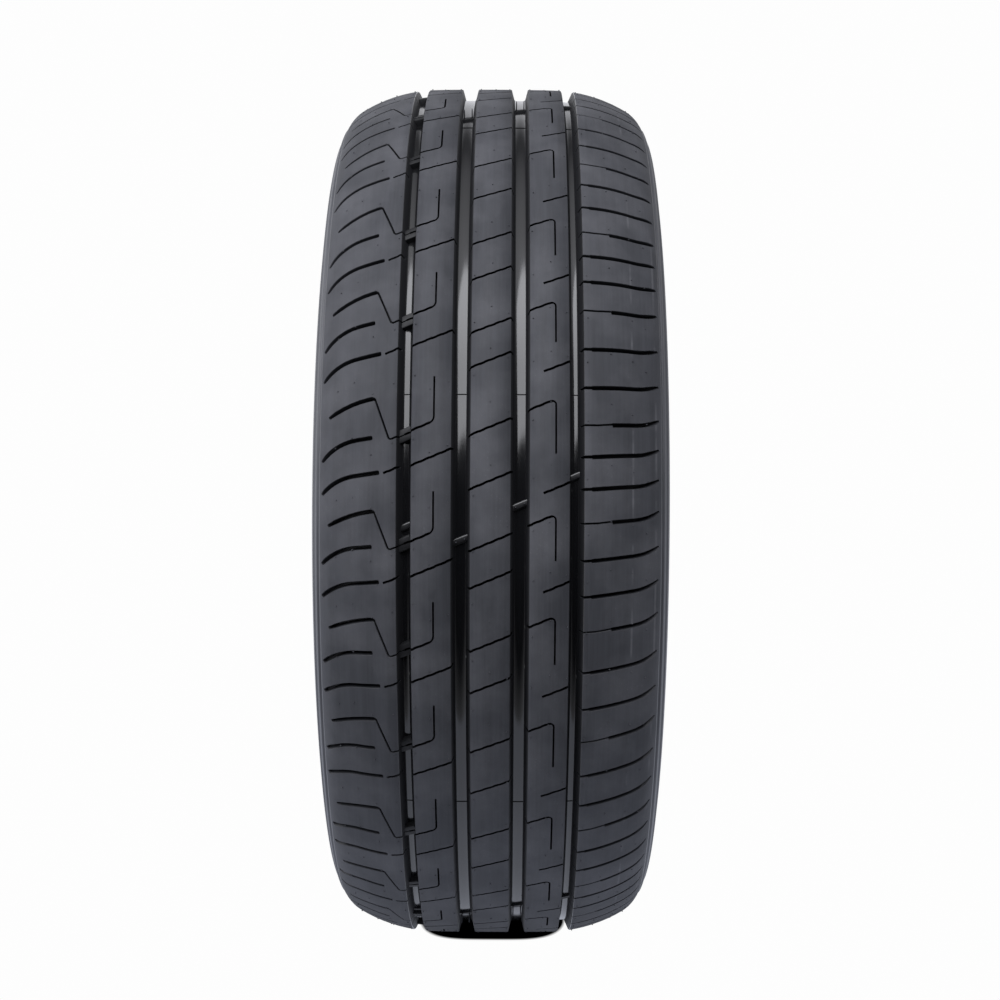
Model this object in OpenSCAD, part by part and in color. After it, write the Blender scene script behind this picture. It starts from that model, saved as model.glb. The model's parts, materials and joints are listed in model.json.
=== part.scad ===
// Car tyre for a 17 inch rim, moulded as one rubber body, standing upright on its tread.
// The axle line is the Y axis, +Z is up, and the origin is the middle of the tyre.
// In plan shapes the first number is the place across the tyre, along Y, and the second is the
// place along the tread, upwards where the tread faces +X.

/* [Overall size] */
// Outside diameter at the middle of the tread
outer_d = 634; // [622:1:650]
// Widest width, from sidewall to sidewall
section_w = 224; // [218:1:232]
// Diameter of the two seats for the rim
seat_d = 436.6; // [412:0.1:444]
// Width of the rim between its two flanges
rim_w = 190.5; // [180:0.5:196]
// How deep the tread is pressed flat where the tyre stands
flat_depth = 2; // [1:0.1:3]

/* [Casing] */
// Radius of the nearly flat arc across the middle of the tread
crown_arc_r = 2500; // [1500:50:4000]
// Radius of the arc across the tread's shoulders
shoulder_arc_r = 110; // [100:1:120]
// Radius of the corner between shoulder and sidewall
corner_arc_r = 26; // [18:1:34]
// Radius of the bulge of the sidewall
wall_arc_r = 60; // [52:1:68]
// Thickness of the crown with its tread
crown_t = 16; // [14.5:0.1:19]
// Thickness of the sidewall where the tyre is widest
wall_t = 8.7; // [6:0.1:11]
// Height of the two mould lines round the edge of each shoulder
mould_line_h = 0.6; // [0.3:0.1:1]

/* [Beads] */
// Width of the bead's base, from its heel to its toe
bead_w = 18; // [15:0.5:22]
// Height of the rim's flange above its seat
flange_h = 17.3; // [15:0.1:18.5]
// Radius of the rim flange's rounded edge
flange_r = 9.5; // [8:0.5:11]
// Radius of the bead's heel
heel_r = 6.5; // [4:0.5:7]
// Height of the rim guard above the flange's edge
guard_rise = 9; // [7:0.5:11]

/* [Main grooves] */
// Depth of the four grooves that run round the tread
groove_depth = 8; // [7:0.1:9]
// Width of the middle rib
centre_rib_w = 24; // [18:0.5:28]
// Width of the two grooves beside the middle rib
centre_groove_w = 11.8; // [9:0.1:14]
// Width of the second rib on each side
second_rib_w = 23.8; // [20:0.1:26]
// Width of the two outer grooves
outer_groove_w = 9; // [8:0.1:11]
// How far the walls of the inner grooves lean in
centre_lean = 2.1; // [1:0.1:3]
// How far the outer grooves' walls on the ribs' side lean in
rib_lean = 1; // [0.5:0.1:1.5]
// How far the outer grooves' walls on the shoulders' side lean in
shoulder_lean = 3.4; // [2:0.1:4.5]

/* [Wear bars and tie bars] */
// Height of the wear bars above the groove's floor
wear_bar_h = 1.6; // [1:0.1:2.5]
// Length of a wear bar along the groove
wear_bar_l = 4; // [3:0.5:8]
// Number of rows of wear bars round the tyre
wear_rows = 6; // [4:1:8]
// Height of the tie bars above the left outer groove's floor
tie_bar_h = 4; // [2:0.5:5]
// Length of a tie bar along the groove
tie_bar_l = 8; // [6:0.5:10]

/* [Pitches] */
// Length of the short tread block round the tyre
short_pitch = 60; // [56:0.5:63]
// Length of the medium tread block
medium_pitch = 67; // [64:0.5:70]
// Length of the long tread block
long_pitch = 75; // [71:0.5:80]
// Order of the block lengths on the right half, from the front downwards
right_order = "LMSLSMLLMSMLMMSMLMMLMLMMLMLMM";
// Order of the block lengths on the left half, from the front downwards
left_order = "LMLMMMLMMSMLMMLMMSMLMMLMMLMMM";
// Angle above the axle where the right half's first block starts
right_start = 51.9; // [45:0.1:58]
// Angle above the axle where the left half's first block starts
left_start = 44.1; // [38:0.1:50]

/* [Sipes] */
// Width of the sipes
sipe_w = 1; // [0.6:0.1:1.4]
// Depth of the sipes in the three middle ribs
sipe_depth = 6; // [4:0.1:6.8]
// Slant of the sipes and bars across the tyre, in degrees
slant = 23; // [18:1:27]

/* [Shoulder grooves] */
// Width of the grooves across the shoulders
lateral_w = 2.6; // [1.8:0.1:3.4]
// Width of these grooves at their pointed outer ends
lateral_tip_w = 1; // [0.6:0.1:1.5]
// Depth of the grooves across the shoulders
lateral_depth = 6.5; // [4:0.1:7.4]
// Distance of their outer ends from the middle of the tyre
lateral_reach = 103; // [99:0.5:104]

/* [Hidden] */
rubber = [0.17, 0.175, 0.19];
arc_step = 10;
overrun = 4.8;
clear_h = 3;

outer_r = outer_d / 2;
seat_r = seat_d / 2;
half_w = section_w / 2;
degrees_per_mm = 360 / (PI * outer_d);

// Places of the groove edges across the tyre
rib_edge = centre_rib_w / 2;
second_start = rib_edge + centre_groove_w;
second_end = second_start + second_rib_w;
shoulder_start = second_end + outer_groove_w;

// The outside is a chain of arcs, each tangent to the next. A turn is the angle between the
// surface and the axle line at the end of an arc.
shoulder_turn = 30;
corner_turn = 62;
crown_end = (half_w - shoulder_arc_r * sin(shoulder_turn)
    - corner_arc_r * (sin(corner_turn) - sin(shoulder_turn))
    - wall_arc_r * (1 - sin(corner_turn))) / (1 - shoulder_arc_r / crown_arc_r);
crown_turn = asin(crown_end / crown_arc_r);
crown_centre = [outer_r - crown_arc_r, 0];
shoulder_centre = crown_centre + (crown_arc_r - shoulder_arc_r) * [cos(crown_turn), sin(crown_turn)];
corner_centre = shoulder_centre + (shoulder_arc_r - corner_arc_r) * [cos(shoulder_turn), sin(shoulder_turn)];
wall_centre = corner_centre + (corner_arc_r - wall_arc_r) * [cos(corner_turn), sin(corner_turn)];

// Distance of an arc, and of the tread's surface, from the axle at a place across the tyre
function arc_height(centre, r, y) = centre.x + sqrt(pow(r, 2) - pow(abs(y) - centre.y, 2));
function surface_r(y) = abs(y) < crown_end ? arc_height(crown_centre, crown_arc_r, y)
    : abs(y) < shoulder_centre.y + shoulder_arc_r * sin(shoulder_turn)
        ? arc_height(shoulder_centre, shoulder_arc_r, y)
        : arc_height(corner_centre, corner_arc_r, y);

// Points along an arc, as radius and place across the tyre
function arc_points(centre, r, from, to) =
    let (steps = max(1, ceil(abs(to - from) / arc_step)))
    [for (i = [0:steps]) let (a = from + (to - from) * i / steps) centre + r * [cos(a), sin(a)]];

function mirrored(points) = [for (i = [len(points) - 1:-1:0]) [points[i].x, -points[i].y]];

// Half of the tread with its grooves, from the middle rib's edge to the shoulder's start
tread_points = [
    [surface_r(rib_edge), rib_edge],
    [surface_r(rib_edge) - groove_depth, rib_edge + centre_lean],
    [surface_r(second_start) - groove_depth, second_start - centre_lean],
    [surface_r(second_start), second_start],
    [surface_r(second_end), second_end],
    [surface_r(second_end) - groove_depth, second_end + rib_lean],
    [surface_r(shoulder_start) - groove_depth, shoulder_start - shoulder_lean],
];
shoulder_first_turn = asin((shoulder_start - shoulder_centre.y) / shoulder_arc_r);

// Two low mould lines at the edge of the shoulder, raised from the wall's arc
line_turns = [66, 73];
line_half = 1.5;
function wall_point(turn, rise) = wall_centre + (wall_arc_r + rise) * [cos(turn), sin(turn)];
mould_lines = [for (turn = line_turns)
    each [wall_point(turn - line_half, 0), wall_point(turn, mould_line_h), wall_point(turn + line_half, 0)]];
wall_points = concat(
    mould_lines,
    arc_points(wall_centre, wall_arc_r, line_turns[1] + 2 * line_half, 90));

// Below its widest place the sidewall comes in to a guard that shields the rim's flange
flange_top = seat_r + flange_h;
guard_r = flange_top + guard_rise;
guard_w = 4;
guard_in = 0.6;
lower_arc_r = 60;
lower_turn = asin(max(0.02, (wall_centre.x - guard_r - 2 * guard_w) / lower_arc_r));
lower_points = arc_points([wall_centre.x, half_w - lower_arc_r], lower_arc_r, 90, 90 + lower_turn);
guard_points = [
    [guard_r + guard_w, half_w - guard_in],
    [guard_r, half_w - guard_in],
    [flange_top + guard_rise / 4, rim_w / 2 + flange_r + guard_rise / 4],
];
flange_points = arc_points([flange_top - flange_r, rim_w / 2 + flange_r], flange_r, 0, -90);
heel_points = arc_points([seat_r + heel_r, rim_w / 2 - heel_r], heel_r, 90, 180);
toe_lift = 2;
toe_points = [
    [seat_r, rim_w / 2 - bead_w + toe_lift],
    [seat_r + toe_lift, rim_w / 2 - bead_w],
];

// The air side: the crown's arcs set in by its thickness, then one arc into the sidewall
inner_turn = 24;
inner_knee = shoulder_centre + (shoulder_arc_r - crown_t) * [cos(inner_turn), sin(inner_turn)];
inner_corner_r = (half_w - wall_t - inner_knee.y) / (1 - sin(inner_turn));
inner_corner_centre = inner_knee - inner_corner_r * [cos(inner_turn), sin(inner_turn)];
apex_r = 20;
apex_turn = 145;
inner_points = concat(
    arc_points(inner_corner_centre + [0, inner_corner_r - apex_r], apex_r, apex_turn, 90),
    arc_points(inner_corner_centre, inner_corner_r, 90 - arc_step, inner_turn),
    [[surface_r(crown_end) - crown_t, crown_end]]);

half_section = concat(
    tread_points,
    arc_points(shoulder_centre, shoulder_arc_r, shoulder_first_turn, shoulder_turn),
    arc_points(corner_centre, corner_arc_r, shoulder_turn + arc_step, corner_turn),
    wall_points,
    lower_points,
    guard_points,
    flange_points,
    heel_points,
    toe_points,
    inner_points);

// The angle of each block's start, going down the front from the first one
function pitch_length(letter) = letter == "S" ? short_pitch : letter == "M" ? medium_pitch : long_pitch;
function total(lengths, i = 0) = i < len(lengths) ? lengths[i] + total(lengths, i + 1) : 0;
function fitted_pitches(order) =
    let (lengths = [for (letter = order) pitch_length(letter)])
    lengths * PI * outer_d / total(lengths);
function pitch_starts(pitches, start) =
    [for (i = 0, a = start; i < len(pitches); a = a - pitches[i] * degrees_per_mm, i = i + 1) a];
right_pitches = fitted_pitches(right_order);
left_pitches = fitted_pitches(left_order);
right_angles = pitch_starts(right_pitches, right_start);
left_angles = pitch_starts(left_pitches, left_start);

// Outline of a slot of changing width along a path
function unit(v) = v / norm(v);
function path_normal(path, i) =
    let (d = unit(path[min(i + 1, len(path) - 1)] - path[max(i - 1, 0)])) [-d.y, d.x];
function slot_outline(path, widths) = concat(
    [for (i = [0:len(path) - 1]) path[i] + path_normal(path, i) * widths[i] / 2],
    [for (i = [len(path) - 1:-1:0]) path[i] - path_normal(path, i) * widths[i] / 2]);
function even(path, w) = [for (p = path) w];
function flip(points) = [for (p = points) [-p.x, p.y]];

// Points of a rounded corner at b on the way from a to c
function rounded(a, b, c, r, steps = 2) =
    let (u = unit(a - b), v = unit(c - b), half = acos(u * v) / 2,
        centre = b + unit(u + v) * r / sin(half),
        first = b + u * r / tan(half) - centre,
        side = u.x * v.y - u.y * v.x > 0 ? -1 : 1,
        sweep = 180 - 2 * half)
    [for (i = [0:steps]) let (t = side * sweep * i / steps)
        centre + [first.x * cos(t) - first.y * sin(t), first.x * sin(t) + first.y * cos(t)]];

// A path that runs straight and then bends, with its slopes in degrees, upwards positive
function bent(start, slope, run, r, end_slope, steps = 3) =
    let (knee = start + run * [cos(slope), sin(slope)], side = end_slope > slope ? 1 : -1)
    concat([start], [for (i = [0:steps]) let (a = slope + (end_slope - slope) * i / steps)
        knee + side * r * [sin(a) - sin(slope), cos(slope) - cos(a)]]);

// Rubber body of revolution with the four main grooves and the two beads
module casing() {
    rotate([-90, 0, 0])
        rotate_extrude()
            polygon(concat(half_section, mirrored(half_section)));
}

// Turns what is drawn at the front, facing +X, to an angle above the axle
module at_angle(a) {
    rotate([0, -a, 0]) children();
}

// A slot cut straight in from the tread, down to a distance from the axle
module slot(outline, floor_r) {
    translate([floor_r, 0, 0])
        rotate([90, 0, 90])
            linear_extrude(outer_r - floor_r + clear_h)
                polygon(outline);
}

module rib_slot(path) {
    slot(slot_outline(path, even(path, sipe_w)), outer_r - sipe_depth);
}

// A bar that lies slanted across a main groove between two places across the tyre
module cross_bar(from, to, top_r, length) {
    rise = tan(slant) * (to - from) / 2;
    half = length / 2;
    translate([top_r - groove_depth, 0, 0])
        rotate([90, 0, 90])
            linear_extrude(groove_depth)
                polygon([[from, -rise - half], [to, rise - half], [to, rise + half], [from, half - rise]]);
}

// Wear bars in rows round the tyre, with one in each main groove, each turned a little from its row
wear_offsets = [-1.6, -3, 0.9, 4];
wear_spans = [
    [-shoulder_start, -second_end],
    [-second_start, -rib_edge],
    [rib_edge, second_start],
    [second_end, shoulder_start],
];
module wear_bars() {
    for (row = [0:wear_rows - 1], i = [0:3])
        at_angle(360 / wear_rows * row + wear_offsets[i])
            cross_bar(wear_spans[i][0], wear_spans[i][1],
                surface_r(wear_spans[i][i < 2 ? 0 : 1]) - groove_depth + wear_bar_h, wear_bar_l);
}

// Tie bars that join the left shoulder to its rib, one in each block. The left rib's hook starts
// beside its tie bar, and both are measured upwards from the next block's start.
hook_rise = 21.3;
tie_rise = 19.4;
module tie_bars() {
    for (i = [0:len(left_pitches) - 1])
        at_angle(left_angles[i] - (left_pitches[i] - tie_rise) * degrees_per_mm)
            cross_bar(-shoulder_start, -second_end,
                surface_r(shoulder_start) - groove_depth + tie_bar_h, tie_bar_l);
}

// Middle rib: two sipes right across it in each block of the right half
centre_sipe_rise = 7.5;
centre_sipe_gap = 17.2;
module centre_rib_sipes() {
    reach = rib_edge + overrun;
    path = [[-reach, -reach * tan(slant)], [reach, reach * tan(slant)]];
    for (i = [0:len(right_pitches) - 1], drop = [0, centre_sipe_gap + right_pitches[i] / 3])
        at_angle(right_angles[i] + (centre_sipe_rise - drop) * degrees_per_mm)
            rib_slot(path);
}

// Right rib: a hooked sipe from its inner edge and a half sipe from its outer edge
right_hook_place = 0.655 * second_rib_w;
right_half_place = 0.345 * second_rib_w;
right_hook_drop = 0.32;
right_hook_fall = 0.36;
right_hook_r = 2.2;
module right_hook(pitch) {
    line = second_start + right_hook_place;
    edge = [second_start - overrun, -overrun * tan(slant)];
    corner = [line, right_hook_place * tan(slant)];
    tip = [line, -right_hook_fall * pitch];
    rib_slot(concat([edge], rounded(edge, corner, tip, right_hook_r), [tip]));
}
module right_half_sipe() {
    length = second_rib_w - right_half_place + overrun;
    tip = second_start + right_half_place;
    rib_slot([[tip, 0], [tip + length, length * tan(slant)]]);
}
module right_rib_sipes() {
    for (i = [0:len(right_pitches) - 1]) {
        at_angle(right_angles[i]) right_half_sipe();
        at_angle(right_angles[i] - right_hook_drop * right_pitches[i] * degrees_per_mm)
            right_hook(right_pitches[i]);
    }
}

// Left rib: a sipe right across it and a hooked sipe from its outer edge
left_hook_place = 0.565 * second_rib_w;
left_hook_climb = 0.45;
left_hook_r = 4.5;
module left_hook(pitch) {
    line = second_end - left_hook_place;
    edge = [second_end + overrun, -overrun * tan(slant)];
    corner = [line, left_hook_place * tan(slant)];
    tip = [line, left_hook_climb * pitch];
    rib_slot(flip(concat([edge], rounded(edge, corner, tip, left_hook_r), [tip])));
}
module left_full_sipe() {
    rise = second_rib_w + overrun;
    rib_slot(flip([
        [second_end + overrun, -overrun * tan(slant)],
        [second_start - overrun, rise * tan(slant)]]));
}
module left_rib_sipes() {
    for (i = [0:len(left_pitches) - 1]) {
        at_angle(left_angles[i]) left_full_sipe();
        at_angle(left_angles[i] - (left_pitches[i] - hook_rise) * degrees_per_mm)
            left_hook(left_pitches[i]);
    }
}

// A slot across the right shoulder, square to a floor that slopes down the shoulder: it is cut
// to its depth beside the main groove and runs out near the corner of the shoulder. Its outline
// is drawn where the slot meets the tread's surface.
tip_depth = 1.8;
floor_start = surface_r(shoulder_start) - lateral_depth;
floor_drop = floor_start - surface_r(lateral_reach) + tip_depth;
floor_tilt = atan(floor_drop / (lateral_reach - shoulder_start));
shoulder_slot_h = 2.2 * lateral_depth;
function on_floor(p) =
    let (depth = surface_r(p.x) - floor_start + (p.x - shoulder_start) * tan(floor_tilt))
    [(p.x - shoulder_start) / cos(floor_tilt) - depth * sin(floor_tilt), p.y];
module shoulder_slot(outline) {
    translate([floor_start, shoulder_start, 0])
        rotate([90, 0, 90 + floor_tilt])
            linear_extrude(shoulder_slot_h)
                polygon([for (p = outline) on_floor(p)]);
}

// Right shoulder: in each block, one groove that starts as a sipe and two full ones below it. A
// full one's place is a share of the block's length and a distance, down from the first groove.
lateral_slope = 4.8;
curl_r = 31;
curl_turn = 34;
step_place = 17;
right_rise = 41.5;
first_full = [0.46, -7.8];
second_full = [0.82, -9.7];
function right_path(start) = bent([start, (start - shoulder_start) * tan(lateral_slope)], lateral_slope,
    lateral_reach - start - curl_r * (sin(curl_turn) - sin(lateral_slope)), curl_r, curl_turn, 2);
function tapered(path, w, tip_w) = [for (i = [0:len(path) - 1])
    i < 2 ? w : w + (tip_w - w) * (i - 1) / (len(path) - 2)];
neck_w = 1.7;
neck_l = 4.7;
joint = [0.1, 0];
module full_lateral() {
    path = right_path(shoulder_start + neck_l);
    neck = [[shoulder_start - overrun, 0], path[0] - joint];
    widths = concat(even(neck, neck_w), tapered(path, lateral_w, lateral_tip_w));
    shoulder_slot(slot_outline(concat(neck, path), widths));
}
module stepped_lateral() {
    path = right_path(shoulder_start + step_place);
    down = [0, -(lateral_w - sipe_w) / 3];
    thin = [[shoulder_start - overrun, 0], path[0] - joint];
    shoulder_slot(slot_outline(thin, even(thin, sipe_w)));
    shoulder_slot([for (p = slot_outline(path, tapered(path, lateral_w, lateral_tip_w))) p + down]);
}
module right_shoulder_grooves() {
    for (i = [0:len(right_pitches) - 1]) {
        first = right_angles[i] + right_rise * degrees_per_mm;
        at_angle(first) stepped_lateral();
        for (place = [first_full, second_full])
            at_angle(first - (place[0] * right_pitches[i] + place[1]) * degrees_per_mm) full_lateral();
    }
}

// Left shoulder: a hooked groove that goes on from the rib's hook through the tie bar, and two
// blind grooves. A blind groove starts some way out, runs nearly straight and curls down.
left_arc_r = 31;
left_tip_w = 1.8;
module blind_groove(start, fall, slope, end_slope) {
    run = (lateral_reach - start - left_arc_r * (sin(slope) - sin(end_slope))) / cos(slope);
    path = bent([start, fall], slope, run, left_arc_r, end_slope);
    outline = slot_outline(path, tapered(path, lateral_w, left_tip_w));
    last = len(outline) - 1;
    middle = (outline[0] + outline[last]) / 2;
    side = outline[0] - middle;
    cap = [for (a = [120, 60])
        middle + [side.x * cos(a) - side.y * sin(a), side.x * sin(a) + side.y * cos(a)]];
    shoulder_slot(concat([outline[last]], cap, [for (i = [0:last - 1]) outline[i]]));
}
hook_bottom = 4.4;
hook_lean = 9.2;
hook_climb = 0.35;
hook_low_r = 1.6;
hook_high_r = 2;
hook_arc_r = 66;
module hooked_groove(pitch) {
    edge = [shoulder_start - overrun, (overrun - outer_groove_w) * tan(slant)];
    low = [shoulder_start + hook_bottom, -(hook_bottom + outer_groove_w) * tan(slant)];
    high = low + [hook_lean, hook_climb * pitch];
    out = high + [3, -0.3];
    thin = concat([edge], rounded(edge, low, high, hook_low_r));
    corner = rounded(low, high, out, hook_high_r);
    wide = bent(out, -9, 1, hook_arc_r, -32);
    grow = [for (i = [0:len(corner) - 1]) sipe_w + (lateral_w - sipe_w) * i / len(corner)];
    shoulder_slot(slot_outline(concat(thin, corner, wide),
        concat(even(thin, sipe_w), grow, tapered(wide, lateral_w, left_tip_w))));
}
tail_drop = 1.4;
tail_l = 7.8;
module tail_sipe() {
    path = [
        [shoulder_start - overrun, overrun * tan(slant) - tail_drop],
        [shoulder_start + tail_l, -tail_l * tan(slant) - tail_drop]];
    shoulder_slot(slot_outline(path, even(path, sipe_w)));
}
module left_shoulder_grooves() {
    mirror([0, 1, 0])
        for (i = [0:len(left_pitches) - 1]) {
            at_angle(left_angles[i]) {
                tail_sipe();
                blind_groove(shoulder_start + 10.2, -4.2, -7, -51);
            }
            at_angle(left_angles[i] - (left_pitches[i] - hook_rise) * degrees_per_mm) {
                hooked_groove(left_pitches[i]);
                blind_groove(shoulder_start + 14.6, -4, -6, -53);
            }
        }
}

// Flat patch where the soft tread stands on the ground
module ground() {
    translate([-outer_r, -section_w, -outer_d])
        cube([outer_d, 2 * section_w, outer_r + flat_depth]);
}

module tyre() {
    color(rubber)
        difference() {
            union() {
                casing();
                wear_bars();
                tie_bars();
            }
            centre_rib_sipes();
            right_rib_sipes();
            left_rib_sipes();
            right_shoulder_grooves();
            left_shoulder_grooves();
            ground();
        }
}

tyre();
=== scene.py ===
# %% [markdown]
# # A road tyre, seen tread-on
# The real object is one moulded rubber body. It is built here as one surface too: the section of
# the tyre is carried round the axle as a grid of points, and the small grooves and sipes are cut
# out of it afterwards, as the mould's blades do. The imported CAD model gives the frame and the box,
# so every size below is in its millimetres and only turns into metres when a mesh is made.

# %% Load the frame
import json
import math
import bpy
import numpy as np
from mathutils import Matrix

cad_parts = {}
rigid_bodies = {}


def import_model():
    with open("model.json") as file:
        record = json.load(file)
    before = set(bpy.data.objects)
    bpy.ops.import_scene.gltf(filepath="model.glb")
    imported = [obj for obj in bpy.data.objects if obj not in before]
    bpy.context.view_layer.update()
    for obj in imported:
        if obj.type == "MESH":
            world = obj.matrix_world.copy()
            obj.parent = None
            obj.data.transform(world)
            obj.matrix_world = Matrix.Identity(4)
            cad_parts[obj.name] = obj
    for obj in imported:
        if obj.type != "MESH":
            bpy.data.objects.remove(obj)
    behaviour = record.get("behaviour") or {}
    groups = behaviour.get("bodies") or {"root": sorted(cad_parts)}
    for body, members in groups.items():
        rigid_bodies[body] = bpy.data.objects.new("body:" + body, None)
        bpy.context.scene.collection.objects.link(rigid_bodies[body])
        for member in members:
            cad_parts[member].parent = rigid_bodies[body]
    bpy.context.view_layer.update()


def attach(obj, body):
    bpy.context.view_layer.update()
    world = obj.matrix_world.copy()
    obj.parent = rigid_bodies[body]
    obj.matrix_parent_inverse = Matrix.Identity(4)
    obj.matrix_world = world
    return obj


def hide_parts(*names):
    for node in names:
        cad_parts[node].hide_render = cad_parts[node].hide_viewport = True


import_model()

# %% [markdown]
# ## Sizes of the section
# The outside of a tyre's section is a chain of arcs that touch without a kink: the flat crown, the
# shoulder, the tighter corner and the bulge of the sidewall. The centres follow from the radii,
# so the chain is worked out here once and every later step asks it for a height or a slope.

# %% Sizes, in millimetres
MM = 0.001
OUTER_R = 317.0
HALF_W = 112.0
SEAT_R = 218.3
FLAT_DEPTH = 2.0
CROWN_ARC, SHOULDER_ARC, CORNER_ARC, WALL_ARC = 2500.0, 110.0, 26.0, 60.0
SHOULDER_TURN, CORNER_TURN = math.radians(30), math.radians(62)
GROOVE_DEPTH = 8.0
RIB_EDGE, INNER_GROOVE_W, SECOND_W, OUTER_GROOVE_W = 12.0, 11.8, 23.8, 9.0
SECOND_START = RIB_EDGE + INNER_GROOVE_W
SECOND_END = SECOND_START + SECOND_W
SHOULDER_START = SECOND_END + OUTER_GROOVE_W
SLANT = math.tan(math.radians(23))
OVERRUN = 4.8


def heading(turn):
    """A step of length one in a direction, as (radius, place across)."""
    return np.array([math.cos(turn), math.sin(turn)])


def chain_centres():
    """Centres of the four arcs as (radius, place across), each touching the one before."""
    crown_end = (HALF_W - SHOULDER_ARC * math.sin(SHOULDER_TURN)
                 - CORNER_ARC * (math.sin(CORNER_TURN) - math.sin(SHOULDER_TURN))
                 - WALL_ARC * (1 - math.sin(CORNER_TURN))) / (1 - SHOULDER_ARC / CROWN_ARC)
    turn = math.asin(crown_end / CROWN_ARC)
    crown = np.array([OUTER_R - CROWN_ARC, 0.0])
    shoulder = crown + (CROWN_ARC - SHOULDER_ARC) * heading(turn)
    corner = shoulder + (SHOULDER_ARC - CORNER_ARC) * heading(SHOULDER_TURN)
    wall = corner + (CORNER_ARC - WALL_ARC) * heading(CORNER_TURN)
    return crown_end, crown, shoulder, corner, wall


CROWN_END, CROWN_C, SHOULDER_C, CORNER_C, WALL_C = chain_centres()
SHOULDER_END = SHOULDER_C[1] + SHOULDER_ARC * math.sin(SHOULDER_TURN)
print("crown ends at", round(CROWN_END, 2), "shoulder at", round(SHOULDER_END, 2))


def surface(y):
    """Radius and turn of the tread at places across: on each arc, sin(turn) is the distance from
    the arc's centre divided by its radius, and the radius is the centre's plus r cos(turn)."""
    a = np.abs(y)
    spots = [a < CROWN_END, a < SHOULDER_END, a >= SHOULDER_END]
    arc_r = np.select(spots, [CROWN_ARC, SHOULDER_ARC, CORNER_ARC])
    centre_r = np.select(spots, [CROWN_C[0], SHOULDER_C[0], CORNER_C[0]])
    centre_y = np.select(spots, [0.0, SHOULDER_C[1], CORNER_C[1]])
    turn = np.arcsin(np.clip((a - centre_y) / arc_r, -1, 1))
    return centre_r + arc_r * np.cos(turn), turn * np.sign(y)


def radius_at(y):
    """Radius of the tread at one place across."""
    return float(surface(np.array(y))[0])


# %% [markdown]
# ## The section as one smooth outline
# A moulded part has no truly sharp corners. The outline below is a list of corners with a radius
# each, and every corner is replaced by a short arc. Because each arc touches its two sides, one
# normal per point describes the whole surface, which later gives clean shading on few faces.

# %% Outline helpers
FILLET_SHARE = 0.45


def arc(centre, r, start, end, steps):
    """Points on an arc, from one turn to another, as radius and place across."""
    a = np.radians(np.linspace(start, end, steps + 1))
    return [(centre[0] + r * math.cos(t), centre[1] + r * math.sin(t), 0.0, 0) for t in a]


def fillet(corners):
    """Rounds a closed outline of (radius, across, fillet radius, steps). A fillet's centre lies on
    the corner's bisector, r / sin(half angle) away, and it starts r / tan(half angle) away, but no
    further than a share of the shorter side."""
    out = []
    count = len(corners)
    for i, (cr, cy, r, steps) in enumerate(corners):
        here = np.array([cr, cy])
        if r == 0:
            out.append(here)
            continue
        back = np.array(corners[i - 1][:2]) - here
        ahead = np.array(corners[(i + 1) % count][:2]) - here
        u, v = back / np.linalg.norm(back), ahead / np.linalg.norm(ahead)
        half = math.acos(np.clip(u @ v, -1, 1)) / 2
        longest = FILLET_SHARE * min(np.linalg.norm(back), np.linalg.norm(ahead))
        reach = min(r / math.tan(half), longest)
        r_used = reach * math.tan(half)
        middle = here + (u + v) / np.linalg.norm(u + v) * r_used / math.sin(half)
        a, b = here + u * reach - middle, here + v * reach - middle
        for k in range(steps + 1):
            d = a * (steps - k) + b * k
            out.append(middle + d / np.linalg.norm(d) * r_used)
    return np.array(out)


def outline_normals(points):
    """Normal at each point of a closed outline: the mean direction of its two sides, turned a
    quarter, with the shorter side counting more, as on an arc that touches a long line."""
    ahead = np.roll(points, -1, 0) - points
    back = points - np.roll(points, 1, 0)
    la, lb = np.linalg.norm(ahead, axis=1)[:, None], np.linalg.norm(back, axis=1)[:, None]
    d = ahead / la * lb + back / lb * la
    n = np.stack([d[:, 1], -d[:, 0]], 1)
    return n / np.linalg.norm(n, axis=1)[:, None]


# %% [markdown]
# ## Half of the section
# From the middle of the tread outwards: the middle rib, a wide groove, the second rib, the outer
# groove with one steep and one leaning wall, the shoulder, two fine rings where the mould's halves
# meet, the sidewall with its rim guard, the bead that sits on the rim, and the air side. Each
# corner is a radius, a place across, the radius of its fillet and the fillet's steps.

# %% Half outline
def lip(y, depth=0.0, r=0.4, steps=1):
    """A corner of the tread's outline at a place across and a depth below the surface."""
    return (radius_at(y) - depth, y, r, steps)


def wall_at(turn, rise=0.0, r=0.0, steps=0):
    """A point of the sidewall's arc at a turn in degrees, raised or sunk."""
    spot = WALL_C + (WALL_ARC + rise) * heading(math.radians(turn))
    return (spot[0], spot[1], r, steps)


FLANGE_H, GUARD_H = 17.3, 9.0
FLANGE_TOP = SEAT_R + FLANGE_H
GUARD_R = FLANGE_TOP + GUARD_H
RIM_HALF = 95.25
FLANGE_R, HEEL_R, BEAD_W, TOE = 9.5, 6.5, 18.0, 2.0
CROWN_T, WALL_T, INNER_TURN, APEX_R = 16.0, 8.7, 24.0, 20.0
FLOOR_R, WALL_RUN, STEEP_RUN, LEANING_RUN = 1.3, 2.1, 1.0, 3.4


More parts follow.
